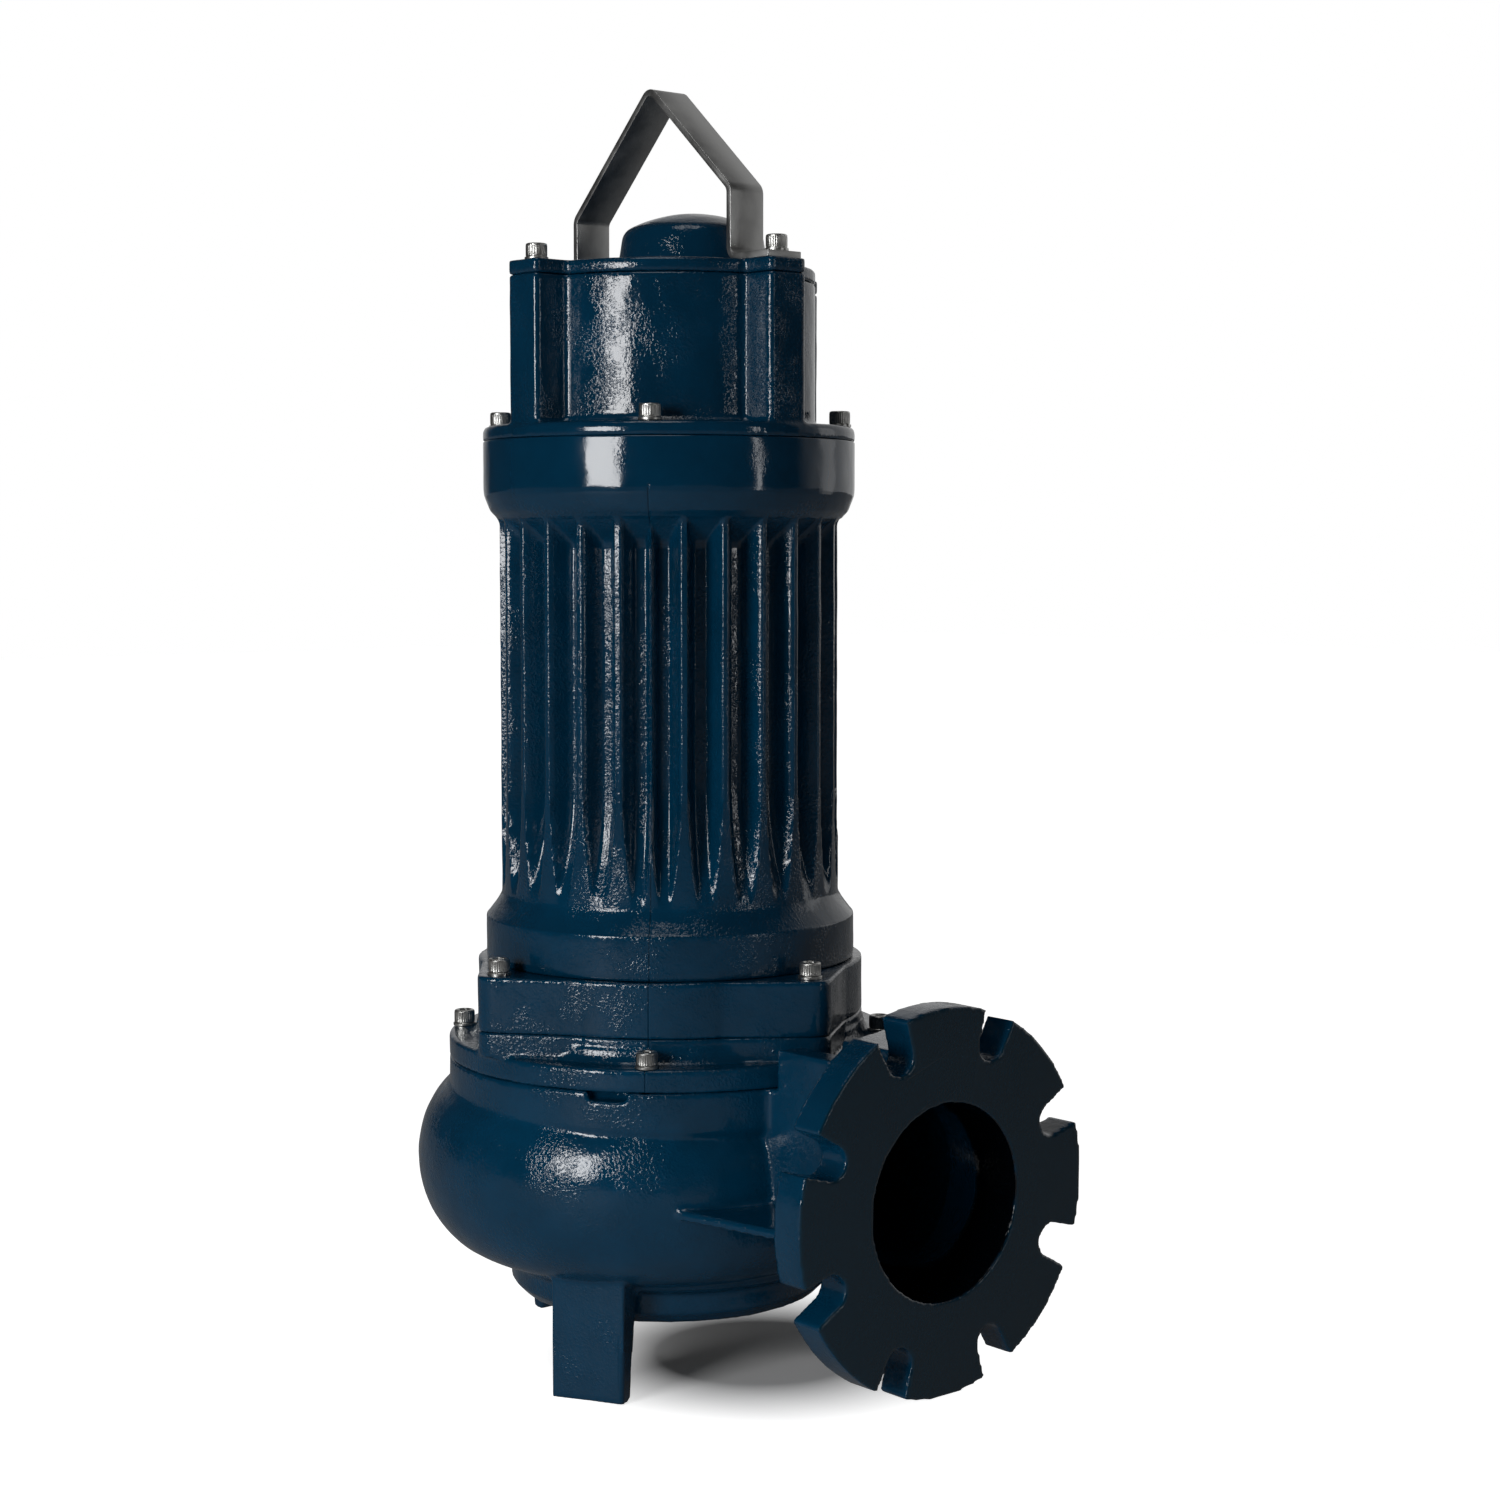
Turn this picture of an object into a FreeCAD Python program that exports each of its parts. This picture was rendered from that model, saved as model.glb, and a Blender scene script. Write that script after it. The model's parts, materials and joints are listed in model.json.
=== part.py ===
import FreeCAD, Part
import math
import os
import re
import Sketcher

# Submersible sewage pump with a finned motor housing, a spiral casing and a strap handle.
# The origin is the centre of the suction mouth, +Z runs up the motor axis and
# +X leaves the discharge flange. Lengths are in millimetres, angles in degrees.

Vector = FreeCAD.Vector
doc = FreeCAD.newDocument("sewage_pump")
sheet = doc.addObject("Spreadsheet::Sheet", "sizes")
UP = Vector(0, 0, 1)

# Driving sizes
SIZES = [
    ("foot_drop", 51, "floor below the suction mouth"),
    ("flow_height", 104, "centre of the discharge above the mouth"),
    ("rim_height", 184, "top of the casing rim"),
    ("cover_flange", 17, "thickness of the volute cover flange"),
    ("cover_height", 35, "volute cover above the casing rim"),
    ("chamber_height", 41, "height of the oil chamber housing"),
    ("upper_bearing_drop", 8, "upper bearing below the ledge of its bracket"),
    ("terminal_height", 119.5, "height of the terminal housing"),
    ("lid_thickness", 10.5, "plate of the top lid"),
    ("suction_bore", 72.5, "radius of the suction passage"),
    ("discharge_bore", 72.5, "radius of the discharge passage"),
    ("flange_radius", 142.5, "radius of the discharge flange"),
    ("flange_thickness", 28, "thickness of the discharge flange"),
    ("flange_reach", 262, "flange face from the motor axis"),
    ("flange_offset", 44, "discharge axis from the motor axis"),
    ("flange_bolts", 120, "radius of the flange bolt circle"),
    ("slot_count", 8, "open bolt slots in the flange"),
    ("slot_radius", 12.5, "half width of a bolt slot"),
    ("nut_space", 19, "radius of the space for a nut behind the flange"),
    ("slot_mouth", 15.5, "half width of a slot at the flange edge"),
    ("neck_wall", 15.5, "wall of the discharge neck"),
    ("neck_shoulder", 110, "flat top of the neck above the discharge axis"),
    ("casing_wall", 13, "wall of the spiral"),
    ("rim_edge", 9, "casing rim outside its screws"),
    ("rim_band", 32, "height of the straight rim band"),
    ("rim_step", 6, "casing wall inside the rim band"),
    ("cover_seat", 140, "radius of the opening in the rim"),
    ("chamber_radius", 128, "radius of the pumping chamber"),
    ("chamber_floor", 28, "floor of the pumping chamber"),
    ("ring_radius", 125, "outer radius of the suction ring"),
    ("ring_height", 24, "height of the suction ring"),
    ("ring_chamfer", 9, "chamfer under the suction ring"),
    ("scroll_start", 176, "outer reach of the spiral at the tongue"),
    ("scroll_growth", 48, "growth of the spiral up to the neck"),
    ("scroll_inner", 84, "inner reach of the spiral sections"),
    ("scroll_half_height", 71, "half height of the spiral sections"),
    ("tongue_angle", 15, "tongue behind the discharge direction"),
    ("foot_width", 57, "width of a foot"),
    ("foot_depth", 13, "radial depth of a foot on the floor"),
    ("foot_root", 34, "radial depth of a foot at the discharge axis"),
    ("foot_reach", 154.5, "outer face of a foot from the axis"),
    ("foot_angle", -62.5, "direction of the first foot"),
    ("foot_count", 3, "feet under the casing"),
    ("web_thickness", 6.5, "web between the spiral and the flange"),
    ("web_drop", 3, "top of the web below the discharge axis"),
    ("web_reach", 93, "outer corner of the web at the flange from the motor axis"),
    ("pry_width", 30, "width of the pry slot under the cover"),
    ("pry_height", 7, "height of the pry slot"),
    ("lobed_lip", 6.5, "oil chamber housing outside the motor housing"),
    ("lobe_room", 12.5, "space between a screw head on a lobe and the motor housing"),
    ("lobe_end", 16, "round end of a lobe"),
    ("lobe_spread", 24, "half angle of a lobe where it meets the disc"),
    ("collar_lip", 12, "base and collar outside the rib tips"),
    ("base_band", 33, "straight band of the motor housing base"),
    ("base_flare", 17, "height of the flare above the base band"),
    ("rib_depth", 18.5, "depth of the valleys between the ribs"),
    ("housing_wall", 12, "wall of the motor housing under a valley"),
    ("valley_floor", 5, "half width of a valley at its floor"),
    ("valley_slope", 24.5, "slope of the rib flanks"),
    ("valley_runout", 90, "height of the curved lower end of a valley"),
    ("rib_pitch", 13.74, "angle between ribs"),
    ("collar_height", 40, "straight band of the motor housing collar"),
    ("collar_curve", 22, "underside of the collar"),
    ("stator_bore", 100, "bore of the motor housing"),
    ("collar_step", 20, "ledge in the collar round the motor bore"),
    ("collar_depth", 62, "depth of the collar bore"),
    ("terminal_wall", 12, "wall of the terminal housing"),
    ("terminal_flange", 11, "flange of the terminal housing"),
    ("terminal_floor", 8, "floor of the terminal housing"),
    ("pad_depth", 27, "screw pads outside the terminal housing wall"),
    ("pad_half_width", 17.5, "half width of a screw pad"),
    ("pad_round", 4, "rounding of the pad edges"),
    ("dome_radius", 58, "foot of the dome on the lid"),
    ("dome_shoulder", 52, "shoulder of the dome"),
    ("dome_side", 28, "height of the dome side"),
    ("dome_height", 43, "height of the dome"),
    ("dome_shift", 13, "dome centre from the motor axis in X and in Y"),
    ("dome_wall", 7, "wall of the dome"),
    ("strap_width", 32, "width of the handle strap"),
    ("strap_thickness", 5, "thickness of the handle strap"),
    ("strap_half_span", 96, "outer face of a handle leg from the middle of the bend"),
    ("strap_edge", 5, "handle feet inside the outer face of their pads"),
    ("strap_leg", 47, "handle leg away from the discharge above the lid"),
    ("strap_near_leg", 55, "handle leg over the discharge above the lid"),
    ("strap_shift", 4, "middle of the handle bend from the motor axis"),
    ("strap_peak", 140, "top of the handle above the lid"),
    ("strap_bend", 6, "inner radius of the handle bends"),
    ("pad_edge", 14, "screws inside the outer face of their pads"),
    ("collar_edge", 11.5, "screws of the terminal housing inside the collar edge"),
    ("base_edge", 9.5, "screws under the motor housing inside its edge"),
    ("screw_radius", 5, "shank of the large screws"),
    ("head_radius", 8, "head of the large screws"),
    ("head_height", 10, "head height of the large screws"),
    ("socket_radius", 4.6, "socket of the large screws"),
    ("socket_depth", 5, "socket depth of the large screws"),
    ("washer_radius", 8.8, "washer under a large screw"),
    ("washer_height", 2.2, "thickness of a washer"),
    ("bracket_edge", 10, "screws of the bearing bracket outside the motor bore"),
    ("small_screw", 3, "shank of the bracket screws"),
    ("small_head", 5, "head of the bracket screws"),
    ("screw_gap", 0.05, "gap around a screw in its thread"),
    ("hole_gap", 0.5, "gap around a screw in a plain hole"),
    ("spigot_gap", 0.3, "gap between a spigot and its bore"),
    ("fit_gap", 0.05, "gap between the shaft and what sits on it"),
    ("press_gap", 0.05, "gap left in a pressed seat"),
    ("face_gap", 0.1, "gap between the faces of a shaft seal"),
    ("groove_depth", 4.7, "depth of the seal ring grooves"),
    ("cord_radius", 2.3, "section radius of the seal rings"),
    ("oil_radius", 118, "radius of the oil chamber"),
    ("seal_radius", 30, "outer radius of the shaft seals"),
    ("shaft_lower", 17.5, "shaft in the impeller"),
    ("shaft_seal", 20, "shaft under the shaft seals"),
    ("shaft_bearing", 22.5, "shaft in the lower bearing"),
    ("shaft_rotor", 30, "shaft in the rotor core"),
    ("shaft_upper", 17.5, "shaft in the upper bearing"),
    ("shaft_overhang", 45, "shaft below the casing rim"),
    ("impeller_radius", 105, "radius of the impeller"),
    ("impeller_plate", 10, "back plate of the impeller"),
    ("impeller_gap", 4, "gap above the impeller plate"),
    ("vane_height", 40, "height of the impeller vanes"),
    ("vane_thickness", 7, "thickness of the impeller vanes"),
    ("vane_count", 8, "impeller vanes"),
    ("hub_radius", 32, "hub of the impeller"),
    ("key_width", 10, "width of the impeller key"),
    ("key_height", 8, "height of the impeller key"),
    ("key_length", 30, "length of the impeller key"),
    ("bolt_radius", 8, "impeller bolt"),
    ("winding_room", 27, "space between the lower bearing and the winding heads"),
    ("stack_height", 200, "length of the motor core"),
    ("rotor_radius", 61.4, "radius of the rotor"),
    ("air_gap", 0.6, "air gap of the motor"),
    ("winding_height", 31, "height of the winding heads"),
    ("lower_bearing_rise", 4, "lower bearing above the motor housing base"),
    ("lower_bearing_radius", 50, "outer radius of the lower bearing"),
    ("lower_bearing_width", 25, "width of the lower bearing"),
    ("lower_roller", 5.5, "roller radius of the lower bearing"),
    ("bracket_room", 8, "space between the winding heads and the upper bearing"),
    ("upper_bearing_radius", 40, "outer radius of the upper bearing"),
    ("upper_bearing_width", 21, "width of the upper bearing"),
    ("upper_roller", 4.5, "roller radius of the upper bearing"),
    ("roller_gap", 0.08, "gap between a roller and its race"),
    ("roller_count", 10, "rollers in a bearing"),
    ("gland_height", 62, "cable gland above the terminal housing base"),
    ("gland_angle", 135, "direction of the cable gland"),
    ("gland_bore", 9, "cable passage radius of the gland"),
    ("gland_thread", 16.5, "thread radius of the gland"),
]

# Sizes that follow from the driving sizes
FOLLOWING = [
    ("terminal_bore", "stator_bore", "bore of the terminal housing"),
    ("terminal_radius", "terminal_bore + terminal_wall", "radius of the terminal housing"),
    ("pad_reach", "terminal_radius + pad_depth", "outer face of the screw pads on the terminal housing"),
    ("lid_screws", "pad_reach - pad_edge", "screw circle of the lid"),
    ("strap_foot", "pad_reach - strap_edge", "end of a handle foot from the axis"),
    ("valley_radius", "stator_bore + housing_wall", "radius at the floor of the rib valleys"),
    ("rib_radius", "valley_radius + rib_depth", "radius over the rib tips"),
    ("base_radius", "rib_radius + collar_lip", "radius of the motor housing base and collar"),
    ("lobed_radius", "base_radius + lobed_lip", "radius of the oil chamber housing"),
    ("lobe_screws", "base_radius + lobe_room + head_radius", "screw circle on the lobes and on the rim"),
    ("base_screws", "base_radius - base_edge", "screw circle under the motor housing"),
    ("collar_screws", "base_radius - collar_edge", "screw circle of the terminal housing"),
    ("rim_radius", "lobe_screws + rim_edge", "outer radius of the casing rim"),
    ("wall_radius", "rim_radius - rim_step", "casing wall between the rim band and the floor"),
    ("collar_bore", "stator_bore + collar_step", "bore of the collar"),
    ("bracket_screws", "stator_bore + bracket_edge", "screw circle of the bearing bracket"),
    ("shaft_end", "rim_height - shaft_overhang", "lower end of the shaft"),
    ("lower_bearing_level", "rim_height + cover_height + chamber_height + lower_bearing_rise",
     "underside of the lower bearing"),
    ("stack_bottom", "lower_bearing_level + lower_bearing_width + winding_room + winding_height",
     "lower end of the motor core"),
    ("upper_bearing_level", "stack_bottom + stack_height + winding_height + bracket_room",
     "underside of the upper bearing"),
    ("housing_height", "upper_bearing_level + upper_bearing_drop + collar_depth"
     " - rim_height - cover_height - chamber_height",
     "height of the motor housing"),
]

NAMES = [name for name, value, meaning in SIZES + FOLLOWING]
ALIAS = re.compile(r"\b(" + "|".join(sorted(NAMES, key=len, reverse=True)) + r")\b")
for line, (name, value, meaning) in enumerate(SIZES + FOLLOWING, start=1):
    sheet.set("A%d" % line, meaning)
    sheet.set("B%d" % line, "=" + value if isinstance(value, str) else str(value))
    sheet.setAlias("B%d" % line, name)
doc.recompute()


def bound(text):
    """The expression that an object uses for a size text."""
    return ALIAS.sub(r"sizes.\1", str(text))


def size(text):
    """The number that a size text stands for."""
    return float(sheet.evalExpression(str(text)))


# Levels that several pieces share
COVER_TOP = "(rim_height + cover_height)"
COVER_SEAT = "(rim_height + cover_flange)"
BASE = "(rim_height + cover_height + chamber_height)"
COLLAR = "(rim_height + cover_height + chamber_height + housing_height)"
LID = "(rim_height + cover_height + chamber_height + housing_height + terminal_height)"
TOP = "(rim_height + cover_height + chamber_height + housing_height + terminal_height + lid_thickness)"
LEDGE = "(rim_height + cover_height + chamber_height + housing_height - collar_depth)"
CHAMBER_FLOOR = "(rim_height + 20)"
CHAMBER_ROOF = "(rim_height + cover_height + chamber_height - 16)"
SQUARE = (0, 90, 180, 270)
DIAGONAL = (45, 135, 225, 315)


# Building blocks

def origin_plane(body, role):
    """One of the body's own origin planes."""
    return [part for part in body.Origin.OriginFeatures if part.Role == role][0]


def polygon_sketch(body, name, role, points):
    """A closed outline whose corners are bound to the sheet."""
    sketch = body.newObject("Sketcher::SketchObject", name)
    sketch.AttachmentSupport = (origin_plane(body, role), "")
    sketch.MapMode = "FlatFace"
    places = [(size(x), size(y)) for x, y in points]
    count = len(places)
    for index, (x, y) in enumerate(places):
        next_x, next_y = places[(index + 1) % count]
        sketch.addGeometry(Part.LineSegment(Vector(x, y, 0), Vector(next_x, next_y, 0)), False)
    for index in range(count):
        sketch.addConstraint(Sketcher.Constraint("Coincident", index, 2, (index + 1) % count, 1))
    for index, texts in enumerate(points):
        for kind, axis, text, place in (("DistanceX", -2, texts[0], places[index][0]),
                                        ("DistanceY", -1, texts[1], places[index][1])):
            if str(text) == "0":
                sketch.addConstraint(Sketcher.Constraint("PointOnObject", index, 1, axis))
                continue
            number = sketch.addConstraint(Sketcher.Constraint(kind, -1, 1, index, 1, place))
            sketch.setExpression("Constraints[%d]" % number, bound(text))
    return sketch


def new_body(label):
    """An empty body with a label and a placement."""
    body = doc.addObject("PartDesign::Body", label)
    body.Label = label
    body.Placement = FreeCAD.Placement()
    return body


def turned(label, points):
    """A piece turned about the motor axis from (radius, height) corners."""
    body = new_body(label)
    sketch = polygon_sketch(body, label + "_profile", "XZ_Plane", points)
    turn = body.newObject("PartDesign::Revolution", label + "_turn")
    turn.Profile = sketch
    turn.ReferenceAxis = (sketch, ["V_Axis"])
    turn.Angle = 360
    body.Tip = turn
    return body


def ring(label, inner, outer, low, high):
    """A plain turned ring."""
    return turned(label, [(inner, low), (outer, low), (outer, high), (inner, high)])


def solid_node(label, shape):
    """A sub-part whose shape is worked out here."""
    node = doc.addObject("Part::Feature", label)
    node.Label = label
    node.Shape = shape
    node.Placement = FreeCAD.Placement()
    return node


def polar(radius, angle, height=0.0):
    """A point at a radius, a direction and a height."""
    turn = math.radians(angle)
    return Vector(radius * math.cos(turn), radius * math.sin(turn), height)


def post(radius, low, high, place):
    """An upright cylinder at a place."""
    return Part.makeCylinder(radius, high - low, Vector(place.x, place.y, low), UP)


def posts(radius, low, high, circle, angles):
    """Upright cylinders round the motor axis."""
    return Part.makeCompound([post(radius, low, high, polar(circle, angle)) for angle in angles])


def turned_about(shape, angle, centre=Vector(0, 0, 0)):
    """A copy turned about an upright line."""
    copy = shape.copy()
    copy.rotate(centre, UP, angle)
    return copy


def slab(points, low, high):
    """An upright prism over a closed plan outline."""
    corners = [Vector(point.x, point.y, low) for point in points]
    return Part.Face(Part.makePolygon(corners + corners[:1])).extrude(UP * (high - low))


# Fasteners

def socket_screw(radius, head, height, length):
    """A socket head screw hanging from its head's seat at the origin."""
    screw = Part.makeCylinder(head, height).fuse(Part.makeCylinder(radius, length, Vector(), -UP))
    screw = screw.removeSplitter()
    flats = [polar(socket, turn) for turn in range(0, 360, 60)
             for socket in [size("socket_radius") * head / size("head_radius")]]
    depth = height * size("socket_depth / head_height")
    return screw.cut(slab(flats, height - depth, height + 1))


def screw_set(label, seat, circle, angles, length, lifts=None):
    """Large screws with their washers, seats at a height, on a circle."""
    thickness = size("washer_height")
    screw = socket_screw(size("screw_radius"), size("head_radius"), size("head_height"), length)
    washer = Part.makeCylinder(size("washer_radius"), thickness)
    washer = washer.cut(Part.makeCylinder(size("screw_radius + hole_gap / 2"), thickness))
    screws = []
    washers = []
    for index, angle in enumerate(angles):
        level = size(seat) + (lifts[index] if lifts else 0.0)
        place = polar(size(circle), angle, level)
        screws.append(screw.translated(place + UP * thickness))
        washers.append(washer.translated(place))
    solid_node(label + "_screws", Part.makeCompound(screws))
    solid_node(label + "_washers", Part.makeCompound(washers))


# Casing

def flow_section(centre, direction, half_width, half_height):
    """A closed oval wire across the flow: centre, flow direction in plan and half sizes."""
    side = Vector(-direction.y, direction.x, 0)
    if half_width >= half_height:
        oval = Part.Ellipse(centre + side * half_width, centre + UP * half_height, centre)
    else:
        oval = Part.Ellipse(centre + UP * half_height, centre - side * half_width, centre)
    return Part.Wire([oval.toShape()])


def scroll_stations(inset, lead):
    """Sections of the spiral up to the neck, made smaller by a wall, from a lead before the tongue."""
    tongue = -size("tongue_angle")
    sweep = 270.0 + tongue
    inner = size("scroll_inner")
    stations = []
    for step in range(11):
        angle = tongue + lead - (sweep + lead) * step / 10
        reach = size("scroll_start") + size("scroll_growth") * (tongue - angle) / sweep
        middle = polar((reach + inner) / 2, angle, size("flow_height"))
        stations.append(flow_section(middle, polar(1, angle - 90), (reach - inner) / 2 - inset,
                                     size("scroll_half_height") - inset))
    return stations


def neck_stations(end_half, inset, length):
    """Sections of the neck from the end of the spiral towards the flange."""
    reach = size("scroll_start + scroll_growth")
    inner = size("scroll_inner")
    start_middle = (reach + inner) / 2
    start_half = (reach - inner) / 2 - inset
    start_height = size("scroll_half_height") - inset
    stations = []
    for share in (0.0, 0.2, 0.4, 0.6, 0.8, 1.0):
        ease = share * share * (3 - 2 * share)
        middle = Vector(length * share, start_middle + (size("flange_offset") - start_middle) * ease,
                        size("flow_height"))
        half = start_half + (end_half - start_half) * ease
        height = start_height + (end_half - start_height) * ease
        stations.append(flow_section(middle, Vector(1, 0, 0), half, height))
    return stations


def turned_solid(corners):
    """A solid turned about the motor axis from (radius, height) numbers."""
    points = [Vector(radius, 0, height) for radius, height in corners]
    return Part.Face(Part.makePolygon(points + points[:1])).revolve(Vector(), UP, 360)


def slot_seats():
    """Centres of the bolt slots on the back of the discharge flange."""
    centre = Vector(size("flange_reach - flange_thickness"), size("flange_offset"), size("flow_height"))
    count = round(size("slot_count"))
    turns = [math.radians((index + 0.5) * 360.0 / count) for index in range(count)]
    return [centre + Vector(0, math.cos(turn), math.sin(turn)) * size("flange_bolts") for turn in turns]


def discharge_flange():
    """The flange disc with its open bolt slots, face to +X."""
    thick = size("flange_thickness")
    radius = size("flange_radius")
    centre = Vector(size("flange_reach") - thick, size("flange_offset"), size("flow_height"))
    disc = Part.makeCylinder(radius, thick, centre, Vector(1, 0, 0))
    half = size("slot_radius")
    mouth = size("slot_mouth")
    for seat in slot_seats():
        outward = (seat - centre).normalize()
        across = Vector(0, -outward.z, outward.y)
        rim = centre + outward * (radius + 2)
        corners = [seat - across * half, rim - across * mouth, rim + across * mouth, seat + across * half]
        slot = Part.Face(Part.makePolygon(corners + corners[:1])).extrude(Vector(thick, 0, 0))
        disc = disc.cut(slot.fuse(Part.makeCylinder(half, thick, seat, Vector(1, 0, 0))))
    return disc


def foot():
    """A tapered foot, outer face square to the first foot's direction."""
    half = size("foot_width") / 2
    reach = size("foot_reach")
    depth = size("foot_depth")
    low = -size("foot_drop")
    high = size("flow_height") - 15
    spread = 1.06

    def wire(grow, deep, level):
        corners = [Vector(reach - deep, -half * grow, level), Vector(reach, -half * grow, level),
                   Vector(reach, half * grow, level), Vector(reach - deep, half * grow, level)]
        return Part.makePolygon(corners + corners[:1])
    shape = Part.makeLoft([wire(1.0, depth, low), wire(spread, size("foot_root"), high)], True, True)
    return turned_about(shape, size("foot_angle"))


def volute_casing():
    """The cast casing: suction ring, spiral, neck, flange, feet, web and rim."""
    flow = size("flow_height")
    rim = size("rim_height")
    rim_radius = size("rim_radius")
    ring_radius = size("ring_radius")
    ring_top = size("ring_height")
    cut = size("ring_chamfer")
    floor = size("chamber_floor")
    chamber = size("chamber_radius")
    band = size("rim_height - rim_band")
    seat = size("cover_seat")
    offset = size("flange_offset")
    face = size("flange_reach")
    back = size("flange_reach - flange_thickness")
    bore = size("discharge_bore")
    wall = size("neck_wall")
    outer_floor = ring_radius + size("casing_wall")
    wall_radius = size("wall_radius")
    core = turned_solid([(0, 0), (ring_radius - cut, 0), (ring_radius, cut), (ring_radius, ring_top),
                         (outer_floor, ring_top + 6), (outer_floor + 12, ring_top + 20),
                         (wall_radius, ring_top + 50), (wall_radius, band - 6), (rim_radius, band + 4),
                         (rim_radius, rim), (0, rim)])
    scroll = Part.makeLoft(scroll_stations(0.0, 20.0), True, False)
    neck = Part.makeLoft(neck_stations(bore + wall, 0.0, back + 6), True, False)
    half = bore + wall - 1
    shoulder = Part.makeBox(back - 110, 2 * half, size("neck_shoulder"), Vector(120, offset - half, flow))
    above_rim = Part.makeCylinder(rim_radius + 8, 60, Vector(0, 0, rim), UP)
    nut_room = [Part.makeCylinder(size("nut_space"), 90, seat - Vector(60, 0, 0), Vector(1, 0, 0))
                for seat in slot_seats()]
    shoulder = shoulder.cut(nut_room)
    thick = size("web_thickness")
    web_top = flow - size("web_drop")
    web = slab([Vector(140, -60, 0), Vector(136, -112, 0), Vector(back, -size("web_reach"), 0),
                Vector(back, 0, 0)], web_top - thick, web_top)
    casing = core.fuse([scroll, neck, shoulder, web]).cut(above_rim).fuse(discharge_flange())
    feet = foot()
    count = round(size("foot_count"))
    legs = [turned_about(feet, index * 360.0 / count) for index in range(count)]
    casing = casing.fuse(legs)
    hollow = turned_solid([(0, -1), (size("suction_bore"), -1), (size("suction_bore"), ring_top - 2),
                           (size("suction_bore") + 12, floor), (chamber - 14, floor),
                           (chamber, floor + 14), (chamber, rim - 12), (seat, rim - 12), (seat, rim + 1),
                           (0, rim + 1)])
    inner_scroll = Part.makeLoft(scroll_stations(size("casing_wall"), 0.0), True, True)
    inner_neck = Part.makeLoft(neck_stations(bore - 1.5, size("casing_wall"), back - 4), True, True)
    outlet = Part.makeCylinder(bore, 60, Vector(face - 59, offset, flow), Vector(1, 0, 0))
    for passage in (inner_scroll, inner_neck, outlet, hollow):
        casing = casing.cut(passage)
    thread_end = rim - 18
    threads = posts(size("screw_radius + screw_gap"), thread_end, rim + 1, size("lobe_screws"), DIAGONAL)
    half = size("pry_width") / 2
    slot = Part.makeBox(30, 2 * half, size("pry_height") + 1,
                        Vector(rim_radius - 12, -half, rim - size("pry_height")))
    return casing.cut([threads, turned_about(slot, size("foot_angle") + 8)]).removeSplitter()


# Lobed discs of the cover and of the oil chamber housing

def lobed_disc(low, high):
    """A disc with four round-ended lobes."""
    radius = size("lobed_radius")
    circle = size("lobe_screws")
    end = size("lobe_end")
    spread = size("lobe_spread")
    disc = Part.makeCylinder(radius, high - low, Vector(0, 0, low), UP)
    root = polar(radius, spread)
    tip = Vector(circle, 0, 0)
    line = tip - root
    lean = math.atan2(line.y, line.x) + math.asin(end / line.Length)
    touch = tip + Vector(-math.sin(lean), math.cos(lean), 0) * end
    flank = [Vector(100, 0, 0), Vector(root.x, -root.y, 0), Vector(touch.x, -touch.y, 0),
             Vector(tip.x, tip.y, 0), touch, root]
    lobe = slab(flank, low, high).fuse(post(end, low, high, tip))
    return disc.fuse([turned_about(lobe, angle) for angle in SQUARE]).removeSplitter()


def seal_ring(label, outer, level):
    """A square seal ring in its groove under an outer face."""
    return ring(label, "%s - groove_depth + screw_gap" % outer, "%s - screw_gap" % outer,
                "%s - cord_radius" % level, "%s + cord_radius" % level)


def grooved(outer, level):
    """Corners of a seal ring groove in an outer face, going up."""
    inner = "%s - groove_depth" % outer
    low = "%s - cord_radius - screw_gap" % level
    high = "%s + cord_radius + screw_gap" % level
    return [(outer, low), (inner, low), (inner, high), (outer, high)]


# Bearings

def bearing(name, bore, outer, width, roller, level):
    """Outer ring, inner ring, rollers and cage of a roller bearing."""
    pitch = "((%s + %s) / 2)" % (bore, outer)
    top = "(%s + %s)" % (level, width)
    ring(name + "_outer_ring", "%s + %s + roller_gap" % (pitch, roller), outer + " - press_gap", level, top)
    ring(name + "_inner_ring", bore + " + fit_gap", "%s - %s - roller_gap" % (pitch, roller), level, top)
    radius = size(roller)
    circle = size(pitch)
    length = size(width) * 0.6
    start = size(level) + size(width) * 0.2
    count = round(size("roller_count"))
    angles = [index * 360.0 / count for index in range(count)]
    solid_node(name + "_rollers", posts(radius, start, start + length, circle, angles))
    gap = size("roller_gap")
    cage = turned_solid([(circle - radius * 0.4, start - 2.5), (circle + radius * 0.4, start - 2.5),
                         (circle + radius * 0.4, start + length + 2.5),
                         (circle - radius * 0.4, start + length + 2.5)])
    pockets = posts(radius + gap, start - gap, start + length + gap, circle, angles)
    solid_node(name + "_cage", cage.cut(pockets))


# Pieces from the suction mouth upwards

solid_node("volute_casing", volute_casing())

spigot = "(cover_seat - spigot_gap)"
ring_level = "(rim_height - 5)"
turned("volute_cover_blank", [
    (spigot, "rim_height - 10")] + grooved(spigot, ring_level) + [
    (spigot, "rim_height"), ("rim_radius", "rim_height"), ("rim_radius", COVER_SEAT + " - 1.5"),
    ("rim_radius - 1.5", COVER_SEAT), ("lobed_radius + 4", COVER_SEAT),
    ("lobed_radius + 4", COVER_SEAT + " + 3"), ("lobed_radius + 2", COVER_SEAT + " + 4"),
    ("lobed_radius + 2", COVER_SEAT + " + 9"), ("lobed_radius", COVER_SEAT + " + 10"),
    ("lobed_radius", COVER_TOP), ("oil_radius", COVER_TOP), ("oil_radius", CHAMBER_FLOOR),
    ("seal_radius + press_gap", CHAMBER_FLOOR), ("seal_radius + press_gap", CHAMBER_FLOOR + " - 8"),
    ("24", CHAMBER_FLOOR + " - 8"), ("24", "rim_height + 4"),
    ("112", "rim_height + 4"), ("112", "rim_height - 10")])
seal_ring("volute_cover_seal", spigot, ring_level)


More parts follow.
